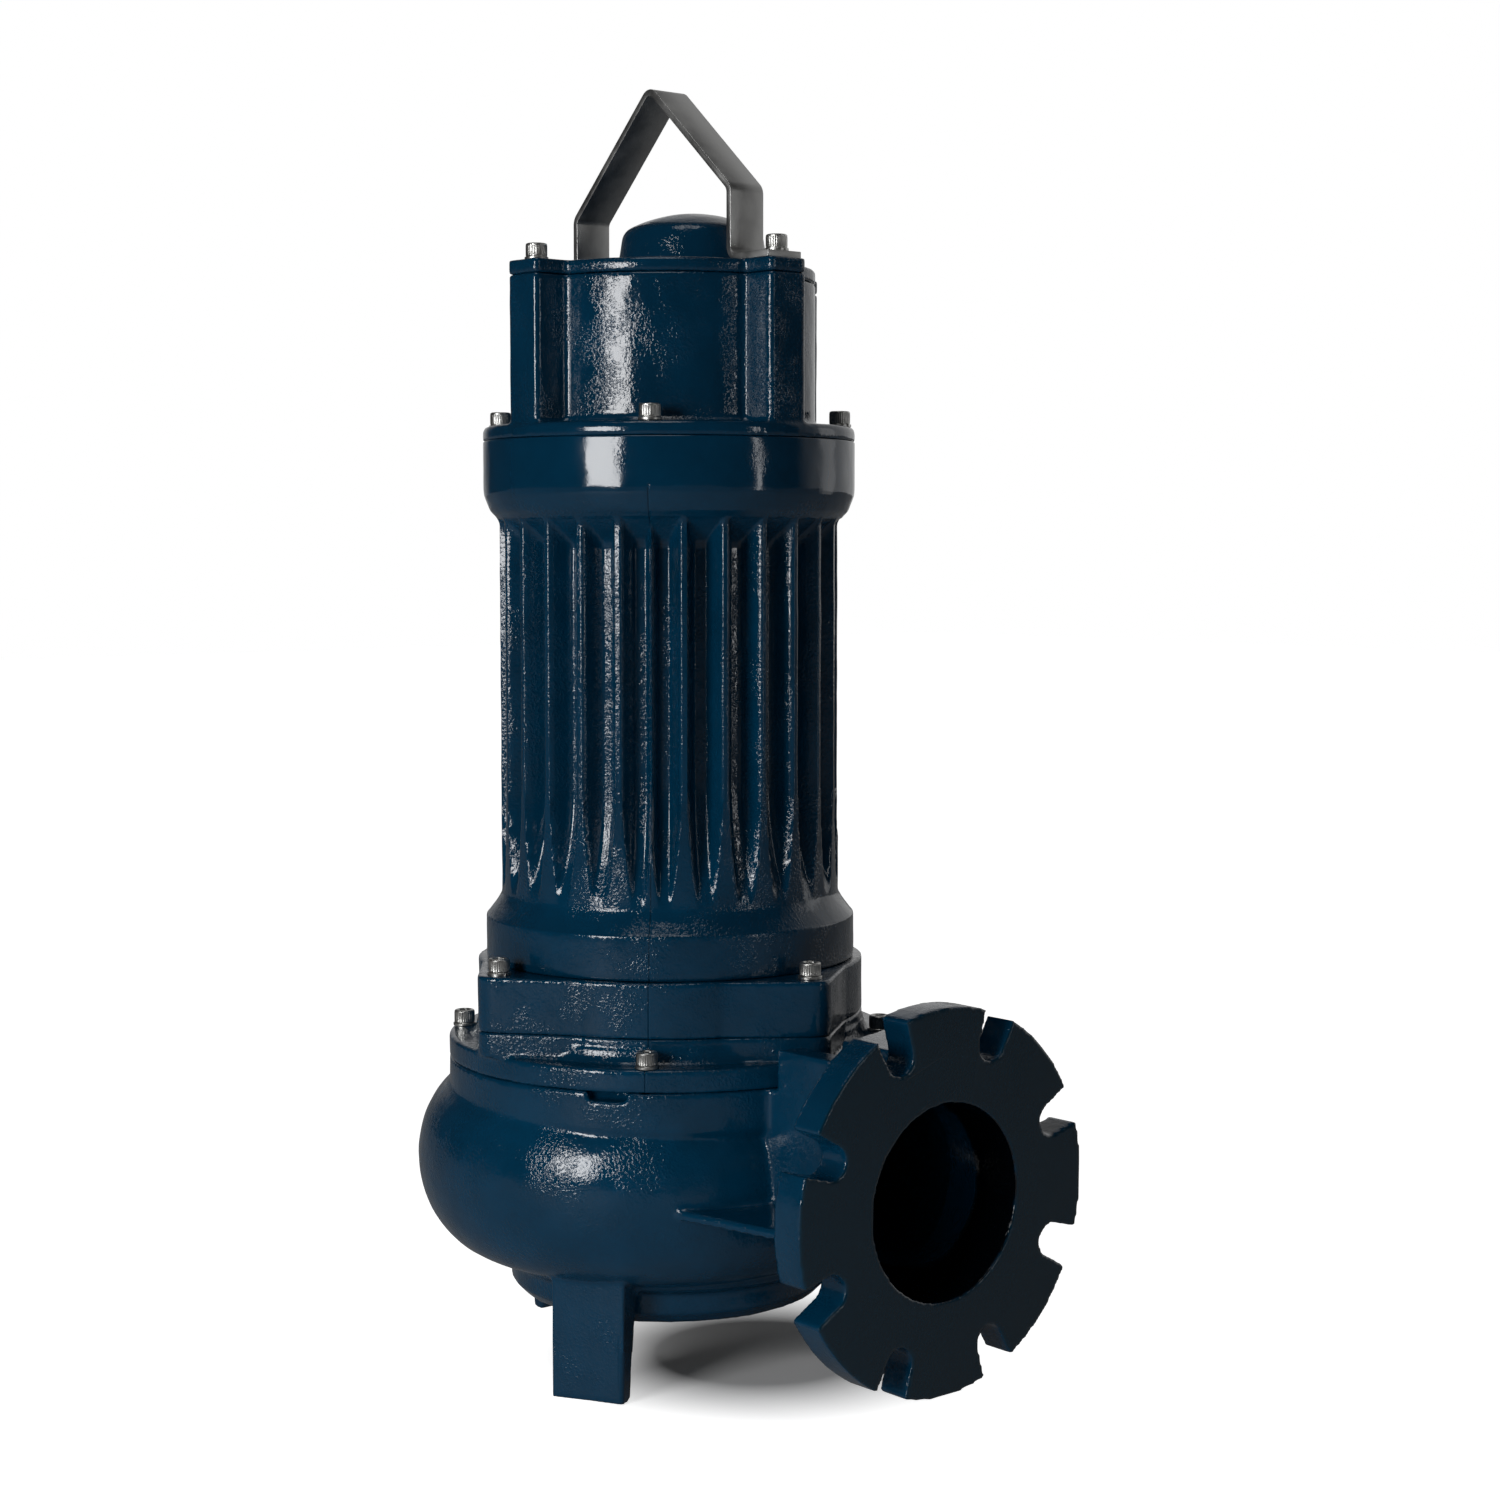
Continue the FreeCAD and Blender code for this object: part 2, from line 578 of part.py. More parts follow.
def volute_cover():
    """The cover between casing and oil chamber, with four lobes and its screw holes."""
    low = size("rim_height")
    seat = size(COVER_SEAT)
    top = size(COVER_TOP)
    lobes = lobed_disc(seat - 1, top).cut(Part.makeCylinder(size("lobed_radius - 1"), top, Vector(), UP))
    shape = doc.getObject("volute_cover_blank").Shape.fuse(lobes)
    threads = posts(size("screw_radius + screw_gap"), low + 6, top + 1, size("lobe_screws"), SQUARE)
    holes = posts(size("screw_radius + hole_gap"), low - 1, top, size("lobe_screws"), DIAGONAL)
    return shape.cut([threads, holes]).removeSplitter()


doc.recompute()
solid_node("volute_cover", volute_cover())
screw_set("volute_cover", COVER_SEAT, "lobe_screws", DIAGONAL, 35)

lower_spigot = "(oil_radius - spigot_gap)"
chamber_ring = "(rim_height + cover_height - 5)"
upper_spigot = "(stator_bore - spigot_gap)"
motor_ring = "(rim_height + cover_height + chamber_height + 4.5)"
clip_top = "(lower_bearing_level + lower_bearing_width + 2.5)"
turned("oil_chamber_blank", [
    ("lobed_radius", COVER_TOP), ("lobed_radius", BASE), (upper_spigot, BASE)]
    + grooved(upper_spigot, motor_ring) + [
    (upper_spigot, BASE + " + 10"), ("stator_bore - 12", BASE + " + 10"), ("stator_bore - 12", BASE + " + 2"),
    ("lower_bearing_radius + 14", BASE + " + 2"), ("lower_bearing_radius + 14", clip_top + " + 2"),
    ("lower_bearing_radius", clip_top + " + 2"), ("lower_bearing_radius", clip_top),
    ("lower_bearing_radius + 2.5", clip_top), ("lower_bearing_radius + 2.5", clip_top + " - 2.5"),
    ("lower_bearing_radius", clip_top + " - 2.5"), ("lower_bearing_radius", "lower_bearing_level"),
    ("lower_bearing_radius - 6", "lower_bearing_level"), ("lower_bearing_radius - 6", BASE + " + 1"),
    ("24", BASE + " + 1"), ("24", CHAMBER_ROOF + " + 8"), ("seal_radius + press_gap", CHAMBER_ROOF + " + 8"),
    ("seal_radius + press_gap", CHAMBER_ROOF), ("oil_radius - 10", CHAMBER_ROOF),
    ("oil_radius - 10", COVER_TOP + " - 10"),
    (lower_spigot, COVER_TOP + " - 10")] + grooved(lower_spigot, chamber_ring) + [
    (lower_spigot, COVER_TOP)])
seal_ring("oil_chamber_seal", lower_spigot, chamber_ring)
seal_ring("motor_housing_seal", upper_spigot, motor_ring)


def plug_places():
    """Axes of the oil plugs on the far side of the oil chamber housing."""
    middle = size(COVER_TOP) + size("chamber_height") / 2
    return [polar(size("lobed_radius"), angle, middle) for angle in (120, 150)]


def oil_chamber_housing():
    """The housing that holds the oil, the shaft seals and the lower bearing."""
    low = size(COVER_TOP)
    top = size(BASE)
    lobes = lobed_disc(low, top).cut(Part.makeCylinder(size("lobed_radius - 1"), top, Vector(), UP))
    shape = doc.getObject("oil_chamber_blank").Shape.fuse(lobes)
    holes = posts(size("screw_radius + hole_gap"), low - 1, top + 1, size("lobe_screws"), SQUARE)
    under = posts(size("screw_radius + hole_gap"), low - 1, top + 1, size("base_screws"), DIAGONAL)
    bores = posts(size("head_radius + hole_gap"), low - 1, low + 13, size("base_screws"), DIAGONAL)
    cuts = [holes, under, bores]
    for place in plug_places():
        outward = Vector(place.x, place.y, 0).normalize()
        cuts.append(Part.makeCylinder(8 + size("screw_gap"), 60, place - outward * 50, outward))
        cuts.append(Part.makeCylinder(13, 12, place - outward * 2.5, outward))
    return shape.cut(cuts).removeSplitter()


doc.recompute()
solid_node("oil_chamber_housing", oil_chamber_housing())
screw_set("oil_chamber", BASE, "lobe_screws", SQUARE, 70)


def oil_plugs():
    """The filling and the draining plug, each with its sealing ring."""
    plugs = []
    seals = []
    for place in plug_places():
        outward = Vector(place.x, place.y, 0).normalize()
        seat = place - outward * 2.5
        seal = Part.makeCylinder(12, 1.5, seat, outward).cut(Part.makeCylinder(8.1, 1.5, seat, outward))
        plug = Part.makeCylinder(8, 22, seat - outward * 20.5, outward)
        plug = plug.fuse(Part.makeCylinder(12, 4, seat + outward * 1.5, outward)).removeSplitter()
        hexagon = Part.makeCylinder(9.2, 8, seat + outward * 5.5, outward)
        plugs.append(plug.fuse(hexagon).removeSplitter())
        seals.append(seal)
    solid_node("oil_plugs", Part.makeCompound(plugs))
    solid_node("oil_plug_seals", Part.makeCompound(seals))


oil_plugs()


def motor_housing_screws():
    """Screws from the oil chamber housing up into the motor housing."""
    screw = socket_screw(size("screw_radius"), size("head_radius"), size("head_height"), 45)
    screw.rotate(Vector(), Vector(1, 0, 0), 180)
    level = size(COVER_TOP) + 13
    return Part.makeCompound([screw.translated(polar(size("base_screws"), angle, level))
                              for angle in DIAGONAL])


solid_node("motor_housing_screws", motor_housing_screws())

# Shaft seals in the oil chamber
seal_low = "(rim_height + 12.1)"
seal_face = "(rim_height + 22)"
ring("lower_seal_seat", "shaft_seal + 1", "seal_radius", seal_low, seal_face)
ring("lower_seal_ring", "shaft_seal + fit_gap", "seal_radius - 1", seal_face + " + face_gap",
     seal_face + " + 10")
ring("upper_seal_ring", "shaft_seal + fit_gap", "seal_radius - 1", CHAMBER_ROOF + " - 10", CHAMBER_ROOF)
ring("upper_seal_seat", "shaft_seal + 1", "seal_radius", CHAMBER_ROOF + " + face_gap",
     CHAMBER_ROOF + " + 7.9")
ring("seal_spring", "shaft_seal + 2", "shaft_seal + 5", seal_face + " + 10", CHAMBER_ROOF + " - 10")

# Shaft and what turns with it
turned("shaft_blank", [
    ("bolt_radius + screw_gap", "shaft_end"), ("shaft_lower", "shaft_end"),
    ("shaft_lower", "rim_height + 3"), ("shaft_seal", "rim_height + 3"),
    ("shaft_seal", "lower_bearing_level - 2"), ("shaft_bearing - 1.2", "lower_bearing_level - 2"),
    ("shaft_bearing - 1.2", "lower_bearing_level"), ("shaft_bearing", "lower_bearing_level"),
    ("shaft_bearing", "lower_bearing_level + lower_bearing_width"),
    ("shaft_bearing + 5", "lower_bearing_level + lower_bearing_width"),
    ("shaft_bearing + 5", "stack_bottom - 20"), ("shaft_rotor", "stack_bottom - 20"),
    ("shaft_rotor", "stack_bottom + stack_height"), ("shaft_upper + 6", "stack_bottom + stack_height"),
    ("shaft_upper + 6", "upper_bearing_level"), ("shaft_upper", "upper_bearing_level"),
    ("shaft_upper", "upper_bearing_level + upper_bearing_width + 1"),
    ("0", "upper_bearing_level + upper_bearing_width + 1"), ("0", "shaft_end + 40"),
    ("bolt_radius + screw_gap", "shaft_end + 40")])


def key_box(gap):
    """The key, or its keyway where a gap is given."""
    width = size("key_width") + 2 * gap
    height = size("key_height") + 2 * gap
    length = size("key_length") + 2 * gap
    low = size("shaft_end") + 8 - gap
    return Part.makeBox(height, width, length, Vector(size("shaft_lower") - 5 - gap, -width / 2, low))


doc.recompute()
solid_node("shaft", doc.getObject("shaft_blank").Shape.cut(key_box(size("press_gap"))))
solid_node("impeller_key", key_box(0.0))
ring("shaft_circlip", "shaft_bearing - 1.15", "shaft_bearing + 3.5", "lower_bearing_level - 1.9",
     "lower_bearing_level - 0.1")
plate_top = "(rim_height + 4 - impeller_gap)"
plate_low = "(rim_height + 4 - impeller_gap - impeller_plate)"
turned("impeller_blank", [
    ("shaft_lower + fit_gap", "shaft_end - 1"), ("hub_radius - 8", "shaft_end - 1"),
    ("hub_radius", plate_low), ("impeller_radius", plate_low + " + 4"), ("impeller_radius", plate_top),
    ("hub_radius", plate_top), ("hub_radius - 8", "rim_height + 3"),
    ("shaft_lower + fit_gap", "rim_height + 3")])


def impeller():
    """Free-flow impeller: hub, back plate and swept vanes below it."""
    outer = size("impeller_radius") - 1
    start = size("hub_radius") - 7
    low = size(plate_low) - size("vane_height")
    high = size(plate_low) + 4.5
    half = size("vane_thickness") / 2
    count = round(size("vane_count"))
    sweep = -28.0

    def bow(radius_shift, side):
        points = []
        for share in (0.0, 0.5, 1.0):
            radius = start + (outer - start) * share
            spot = polar(radius, sweep * share * share)
            across = polar(1, sweep * share * share + 90 + 2 * sweep * share * 0.6)
            points.append(spot + across * (side * half) + UP * low)
        return points
    left = bow(0, -1)
    right = bow(0, 1)
    edges = [Part.Arc(*left).toShape(), Part.LineSegment(left[2], right[2]).toShape(),
             Part.Arc(right[2], right[1], right[0]).toShape(),
             Part.LineSegment(right[0], left[0]).toShape()]
    vane = Part.Face(Part.Wire(edges)).extrude(UP * (high - low))
    tip = turned_solid([(start - 6, size("shaft_end") - 1), (start + 2, size("shaft_end") - 1),
                        (outer - 6, low), (outer + 4, low), (outer + 4, high), (start - 6, high)])
    vane = vane.common(tip)
    vanes = [turned_about(vane, index * 360.0 / count) for index in range(count)]
    wheel = doc.getObject("impeller_blank").Shape.fuse(vanes)
    bore = Part.makeCylinder(size("shaft_lower + fit_gap"), 400)
    rim = Part.makeCylinder(outer + 60, 400).cut(Part.makeCylinder(outer + 1, 400))
    return wheel.cut([bore, rim, key_box(size("press_gap"))]).removeSplitter()


doc.recompute()
solid_node("impeller", impeller())
ring("impeller_washer", "bolt_radius + hole_gap", "hub_radius - 9", "shaft_end - 7", "shaft_end - 1")
solid_node("impeller_bolt", socket_screw(size("bolt_radius"), 12.0, 16.0, 42.0))
bolt = doc.getObject("impeller_bolt")
bolt.Placement = FreeCAD.Placement(Vector(0, 0, size("shaft_end - 7")),
                                   FreeCAD.Rotation(Vector(1, 0, 0), 180))
bearing("lower_bearing", "shaft_bearing", "lower_bearing_radius", "lower_bearing_width", "lower_roller",
        "lower_bearing_level")
ring("bearing_circlip", "lower_bearing_radius - 4", "lower_bearing_radius + 2.3", clip_top + " - 2.4",
     clip_top + " - 0.1")
bearing("upper_bearing", "shaft_upper", "upper_bearing_radius", "upper_bearing_width", "upper_roller",
        "upper_bearing_level")
stack_top = "(stack_bottom + stack_height)"
ring("rotor_core", "shaft_rotor + fit_gap", "rotor_radius", "stack_bottom", stack_top)
ring_outside = size("rotor_radius") - 5.4
cage_bars = [Part.makeCylinder(ring_outside, 14, Vector(0, 0, level), UP).cut(
    Part.makeCylinder(ring_outside - 18, 14, Vector(0, 0, level), UP))
    for level in (size("stack_bottom") - 14, size(stack_top))]
solid_node("rotor_end_rings", Part.makeCompound(cage_bars))

# Motor stator
ring("stator_core", "rotor_radius + air_gap", "stator_bore - press_gap", "stack_bottom", stack_top)
heads = []
near = size("rotor_radius + air_gap") + 5
far = size("stator_bore") - 7
for level, side in ((size("stack_bottom"), -1), (size(stack_top), 1)):
    rise = side * size("winding_height")
    heads.append(turned_solid([(near, level), (far, level), (far, level + rise * 0.8),
                               (far - 5, level + rise), (near + 5, level + rise),
                               (near, level + rise * 0.8)]))
solid_node("stator_windings", Part.makeCompound(heads))

# Motor housing
turned("stator_housing_blank", [
    ("stator_bore", BASE), ("base_radius", BASE), ("base_radius", BASE + " + base_band"),
    ("base_radius - 1.5", BASE + " + base_band + 1.5"), ("rib_radius + 4", BASE + " + base_band + 10"),
    ("rib_radius", BASE + " + base_band + base_flare"),
    ("rib_radius", COLLAR + " - collar_height - collar_curve"),
    ("rib_radius + 7", COLLAR + " - collar_height - collar_curve * 0.6"),
    ("base_radius - 1", COLLAR + " - collar_height - collar_curve * 0.15"),
    ("base_radius", COLLAR + " - collar_height + 3"), ("base_radius", COLLAR + " - 1"),
    ("base_radius - 1", COLLAR), ("collar_bore", COLLAR), ("collar_bore", LEDGE),
    ("stator_bore", LEDGE)])


def valley(half_floor):
    """The space between two ribs, along +X: trapezoids joined up the motor axis."""
    floor = size("valley_radius")
    tips = size("rib_radius")
    slope = math.tan(math.radians(size("valley_slope")))
    outside = tips + 5
    top = size(COLLAR) - size("collar_height + collar_curve") + 4
    low = size(BASE) + size("base_band + base_flare") + 4
    runout = size("valley_runout")
    rise = tips + 1 - floor
    sweep = (runout * runout + rise * rise) / (2 * rise)
    stations = [(low + runout * (1 - share), sweep - math.sqrt(sweep * sweep - (runout * share) ** 2))
                for share in (1.0, 0.75, 0.5, 0.25, 0.0)]
    stations = [(level, shift, 0.0) for level, shift in stations]
    stations += [(top - rise, 0.0, 0.0), (top, rise, rise)]
    wires = []
    for level, shift, spread in stations:
        near = floor + shift
        narrow = half_floor + spread * slope
        wide = narrow + (outside - near) * slope
        corners = [Vector(outside, -wide, level), Vector(near, -narrow, level),
                   Vector(near, narrow, level), Vector(outside, wide, level)]
        wires.append(Part.makePolygon(corners + corners[:1]))
    return Part.makeLoft(wires, True, True)


def stator_housing():
    """The finned motor housing: a turned blank with the valleys between its ribs cut out."""
    pitch = size("rib_pitch")
    wide = valley(size("valley_floor"))
    narrow = valley(size("valley_floor") * 0.77)
    gap = 90 - 5 * pitch
    cutters = []
    for quarter in SQUARE:
        cutters += [turned_about(wide, quarter + pitch * index) for index in range(-2, 3)]
        cutters += [turned_about(narrow, quarter + 45 + side * gap * 0.2) for side in (-1, 1)]
    shape = doc.getObject("stator_housing_blank").Shape
    for cutter in cutters:
        shape = shape.cut(cutter)
    top = size(COLLAR)
    base = size(BASE)
    ledge = size(LEDGE)
    threads = [posts(size("screw_radius + screw_gap"), top - 20, top + 1, size("collar_screws"), DIAGONAL),
               posts(size("screw_radius + screw_gap"), base - 1, base + 20, size("base_screws"), DIAGONAL),
               posts(size("small_screw + screw_gap"), ledge - 12, ledge + 1, size("bracket_screws"),
                     SQUARE)]
    return shape.cut(threads)


doc.recompute()
solid_node("stator_housing", stator_housing())

# Upper bearing bracket
seat_top = "(upper_bearing_level + upper_bearing_width + 2)"
turned("bracket_blank", [
    ("upper_bearing_radius", "upper_bearing_level - 4"),
    ("upper_bearing_radius + 12", "upper_bearing_level - 4"),
    ("upper_bearing_radius + 14", LEDGE), ("collar_bore - spigot_gap", LEDGE),
    ("collar_bore - spigot_gap", LEDGE + " + 10"), ("upper_bearing_radius + 14", LEDGE + " + 10"),
    ("upper_bearing_radius + 10", seat_top + " + 7"), ("0", seat_top + " + 7"), ("0", seat_top),
    ("upper_bearing_radius", seat_top)])


def lead_places():
    """Places of the three motor leads on the bracket and on the terminal floor."""
    return [polar(size("stator_bore - 24"), angle) for angle in (90, 210, 330)]


def upper_bearing_bracket():
    """The plate that carries the upper bearing, with its screw and lead holes."""
    low = size(LEDGE) - 1
    holes = posts(size("small_screw + hole_gap"), low, low + 12, size("bracket_screws"), SQUARE)
    leads = Part.makeCompound([post(6, low, low + 12, place) for place in lead_places()])
    return doc.getObject("bracket_blank").Shape.cut([holes, leads]).removeSplitter()


doc.recompute()
solid_node("upper_bearing_bracket", upper_bearing_bracket())
small = socket_screw(size("small_screw"), size("small_head"), 6.0, 20.0)
solid_node("bracket_screws", Part.makeCompound(
    [small.translated(polar(size("bracket_screws"), angle, size(LEDGE) + 10)) for angle in SQUARE]))
ring("bearing_spring", "upper_bearing_radius - 8", "upper_bearing_radius - 0.5", seat_top + " - 1.9",
     seat_top + " - 0.1")

# Terminal housing
terminal_spigot = "(collar_bore - spigot_gap)"
terminal_ring = "(rim_height + cover_height + chamber_height + housing_height - 5)"
turned("terminal_blank", [
    (terminal_spigot, COLLAR + " - 10")] + grooved(terminal_spigot, terminal_ring) + [
    (terminal_spigot, COLLAR), ("base_radius", COLLAR), ("base_radius", COLLAR + " + terminal_flange - 4"),
    ("base_radius - 1.2", COLLAR + " + terminal_flange - 1.2"),
    ("base_radius - 4", COLLAR + " + terminal_flange"),
    ("terminal_radius + 4", COLLAR + " + terminal_flange"),
    ("terminal_radius", COLLAR + " + terminal_flange + 4"), ("terminal_radius", LID),
    ("terminal_bore", LID), ("terminal_bore", COLLAR + " + 10 + terminal_floor"),
    ("0", COLLAR + " + 10 + terminal_floor"), ("0", COLLAR + " + 10"),
    ("terminal_bore + 8", COLLAR + " + 10"),
    ("terminal_bore + 8", COLLAR + " - 10")])
seal_ring("terminal_housing_seal", terminal_spigot, terminal_ring)


def pads(low, high):
    """Four upright screw pads on the round wall."""
    half = size("pad_half_width")
    inner = size("terminal_bore") + 5
    outer = size("pad_reach")
    block = Part.makeBox(outer - inner, 2 * half, high - low, Vector(inner, -half, low))
    edges = [edge for edge in block.Edges if abs(edge.BoundBox.ZLength - (high - low)) < 1e-6
             and edge.BoundBox.XMin > inner + 1]
    block = block.makeFillet(size("pad_round"), edges)
    return [turned_about(block, angle) for angle in SQUARE]


def gland_frame():
    """Placement of the cable gland: local +Z points outwards from the terminal housing."""
    angle = size("gland_angle")
    level = size(COLLAR) + size("gland_height")
    turn = FreeCAD.Rotation(UP, angle).multiply(FreeCAD.Rotation(Vector(0, 1, 0), 90))
    return FreeCAD.Placement(polar(size("terminal_radius") + 6, angle, level), turn)


def terminal_housing():
    """The housing of the terminal chamber, with screw pads and the cable gland boss."""
    low = size(COLLAR)
    top = size(LID)
    flange = low + size("terminal_flange")
    shape = doc.getObject("terminal_blank").Shape.fuse(pads(flange - 2, top))
    boss = Part.makeCylinder(25, 24, Vector(0, 0, -24), UP)
    boss.Placement = gland_frame()
    shape = shape.fuse(boss)
    hole = Part.makeCylinder(size("gland_thread + screw_gap"), 40, Vector(0, 0, -39), UP)
    hole.Placement = gland_frame()
    inside = Part.makeCylinder(size("terminal_bore"), top - low - 18 - 1, Vector(0, 0, low + 18), UP)
    holes = posts(size("screw_radius + hole_gap"), low - 1, flange + 30, size("collar_screws"), DIAGONAL)
    threads = posts(size("screw_radius + screw_gap"), top - 26, top + 1, size("lid_screws"), SQUARE)
    leads = Part.makeCompound([post(4.5, low, low + 20, place) for place in lead_places()])
    return shape.cut([hole, inside, holes, threads, leads]).removeSplitter()


doc.recompute()
solid_node("terminal_housing", terminal_housing())
screw_set("terminal_housing", COLLAR + " + terminal_flange", "collar_screws", DIAGONAL, 30)

board_low = "(rim_height + cover_height + chamber_height + housing_height + 10 + terminal_floor)"
turned("terminal_board", [("0", board_low), ("terminal_bore - 16", board_low),
                          ("terminal_bore - 16", board_low + " + 10"),
                          ("terminal_bore - 20", board_low + " + 14"), ("0", board_low + " + 14")])
stud = turned_solid([(0, 0), (6, 0), (6, 5), (3, 5), (3, 16), (0, 16)])
solid_node("terminal_studs", Part.makeCompound(
    [stud.translated(polar(50, index * 60, size(board_low) + 14)) for index in range(6)]))
lead_low = size(stack_top) + size("winding_height")
solid_node("motor_leads", Part.makeCompound(
    [post(3.5, lead_low, size(board_low), place) for place in lead_places()]))

# Lid with its dome
lid_spigot = "(terminal_bore - spigot_gap)"
lid_ring = "(rim_height + cover_height + chamber_height + housing_height + terminal_height - 4)"
turned("lid_blank", [
    ("0", LID), ("terminal_bore - 10", LID), ("terminal_bore - 10", LID + " - 8"), (lid_spigot, LID + " - 8")]
    + grooved(lid_spigot, lid_ring) + [
    (lid_spigot, LID), ("terminal_radius", LID), ("terminal_radius", TOP + " - 2"),
    ("terminal_radius - 2", TOP), ("0", TOP)])
seal_ring("lid_seal", lid_spigot, lid_ring)


def dome(shrink, low, level):
    """A low dome above a level on a round neck: a leaning side under a shallow spherical cap."""
    radius = size("dome_radius") - shrink
    shoulder = size("dome_shoulder") - shrink
    side = level + size("dome_side")
    peak = level + size("dome_height") - shrink
    edge = shoulder - 4
    start = side + 3.4
    rise = peak - start
    sphere = (edge * edge + rise * rise) / (2 * rise)
    half = edge / 2
    middle = peak - sphere + math.sqrt(sphere * sphere - half * half)
    corners = [Vector(0, 0, low), Vector(radius, 0, low), Vector(radius, 0, level),
               Vector(shoulder + 2, 0, side - 4), Vector(edge, 0, start), Vector(0, 0, peak)]
    curve = [Part.LineSegment(corners[0], corners[1]).toShape(),
             Part.LineSegment(corners[1], corners[2]).toShape(),
             Part.LineSegment(corners[2], corners[3]).toShape(),
             Part.Arc(corners[3], Vector(shoulder, 0, side), corners[4]).toShape(),
             Part.Arc(corners[4], Vector(half, 0, middle), corners[5]).toShape(),
             Part.LineSegment(corners[5], corners[0]).toShape()]
    shift = size("dome_shift")
    return Part.Face(Part.Wire(curve)).revolve(Vector(), UP, 360).translated(Vector(shift, shift, 0))


def top_lid():
    """The lid over the terminal chamber, its dome and its screw holes."""
    low = size(LID)
    top = size(TOP)
    plate = doc.getObject("lid_blank").Shape.fuse(pads(low, top))
    holes = posts(size("screw_radius + hole_gap"), low - 1, top + 1, size("lid_screws"), SQUARE)
    hollow = dome(size("dome_wall"), low - 1, top)
    return plate.fuse(dome(0.0, low + 2, top)).cut([hollow, holes]).removeSplitter()


doc.recompute()
solid_node("top_lid", top_lid())
strap = size("strap_thickness")
screw_set("lid", TOP, "lid_screws", SQUARE, 35, [strap, 0.0, strap, 0.0])


def handle():
    """The flat strap bent over the lid, feet turned outwards, its bends a little off the motor axis."""
    body = new_body("handle_blank")
    middle = "(0 - strap_shift)"
    near_slope = "((strap_peak - strap_near_leg) / strap_half_span)"
    far_slope = "((strap_peak - strap_leg) / strap_half_span)"
    near_drop = "(strap_thickness * sqrt(1 + %s ^ 2))" % near_slope
    far_drop = "(strap_thickness * sqrt(1 + %s ^ 2))" % far_slope
    inner = "(strap_half_span - strap_thickness)"
    notch = "((%s - %s) / (%s + %s))" % (far_drop, near_drop, near_slope, far_slope)
    foot_top = TOP + " + strap_thickness"
    near_side = [("strap_foot", TOP), ("strap_foot", foot_top), (middle + " + strap_half_span", foot_top),
                 (middle + " + strap_half_span", TOP + " + strap_near_leg")]
    far_side = [(middle + " - strap_half_span", TOP + " + strap_leg"),
                (middle + " - strap_half_span", foot_top), ("0 - strap_foot", foot_top),
                ("0 - strap_foot", TOP)]
    under = [(middle + " - " + inner, TOP),
             (middle + " - " + inner, TOP + " + strap_peak - %s - %s * %s" % (far_drop, far_slope, inner)),
             (middle + " - " + notch, TOP + " + strap_peak - %s + %s * %s" % (near_drop, near_slope, notch)),
             (middle + " + " + inner, TOP + " + strap_peak - %s - %s * %s" % (near_drop, near_slope, inner)),
             (middle + " + " + inner, TOP)]
    points = near_side + [(middle, TOP + " + strap_peak")] + far_side + under
    sketch = polygon_sketch(body, "handle_side", "XZ_Plane", points)
    pad = body.newObject("PartDesign::Pad", "handle_pad")
    pad.Profile = sketch
    pad.setExpression("Length", bound("strap_width"))
    pad.Midplane = True
    body.Tip = pad
    doc.recompute()
    small_bend = size("strap_bend")
    large_bend = small_bend + size("strap_thickness")
    top = size(TOP)
    peak = top + size("strap_peak")
    span = {"inner": size(inner), "outer": size("strap_half_span")}
    shape = body.Shape

    def bends(side, low, high, at_peak):
        """Edges across the strap on one face of its legs between two levels, or at the peak."""
        found = []
        for edge in shape.Edges:
            bounds = edge.BoundBox
            if bounds.YLength < 1 or bounds.XLength > 0.01 or bounds.ZLength > 0.01:
                continue
            away = abs(edge.CenterOfMass.x + size("strap_shift"))
            level = edge.CenterOfMass.z
            on_leg = abs(away - span[side]) < 1 and low < level < high
            if on_leg or away < 2 and at_peak[0] < level < at_peak[1]:
                found.append(edge)
        return found

    shape = shape.makeFillet(small_bend, bends("inner", top + 1, peak, (top + strap + 1, peak - 1))
                             + bends("outer", top + strap - 1, top + strap + 1, (0, 0)))
    shape = shape.makeFillet(large_bend, bends("outer", top + strap + 1, peak, (peak - 1, peak + 1))
                             + bends("inner", top - 1, top + 1, (0, 0)))
    holes = posts(size("screw_radius + hole_gap"), top - 1, top + strap + 1, size("lid_screws"), (0, 180))
    return shape.cut(holes)


solid_node("lifting_handle", handle())

# Cable gland, without a cable
gland_parts = {
    "cable_gland_body": [("gland_bore + 1", "-26"), ("gland_thread", "-26"), ("gland_thread", "0"),
                         ("gland_thread + 6", "0"), ("gland_thread + 6", "9"), ("gland_thread", "9"),
                         ("gland_thread", "22"), ("gland_bore + 5.1", "22"), ("gland_bore + 5.1", "8"),
                         ("gland_bore + 1", "8")],
    "cable_gland_bush": [("gland_bore", "8"), ("gland_bore + 5", "8"), ("gland_bore + 5", "24"),
                         ("gland_bore", "24")],
    "cable_gland_nut": [("gland_bore + 0.5", "24.1"), ("gland_thread + 0.1", "24.1"),
                        ("gland_thread + 0.1", "11"), ("gland_thread + 5", "11"),
                        ("gland_thread + 5", "28"), ("gland_thread + 2", "33"),
                        ("gland_bore + 0.5", "33")],
}
for label, corners in gland_parts.items():
    turned(label, corners).Placement = gland_frame()
doc.recompute()

node_types = ("PartDesign::Body", "Part::Feature", "Part::Cut")
nodes = [item for item in doc.Objects
         if item.TypeId in node_types and not item.Name.endswith("_blank")]
for item in doc.Objects:
    for flag in item.State:
        if flag in ("Invalid", "Error"):
            raise RuntimeError("%s is %s" % (item.Name, flag))
for node in nodes:
    if node.Shape.isNull() or not node.Shape.isValid():
        raise RuntimeError("%s has no valid shape" % node.Label)

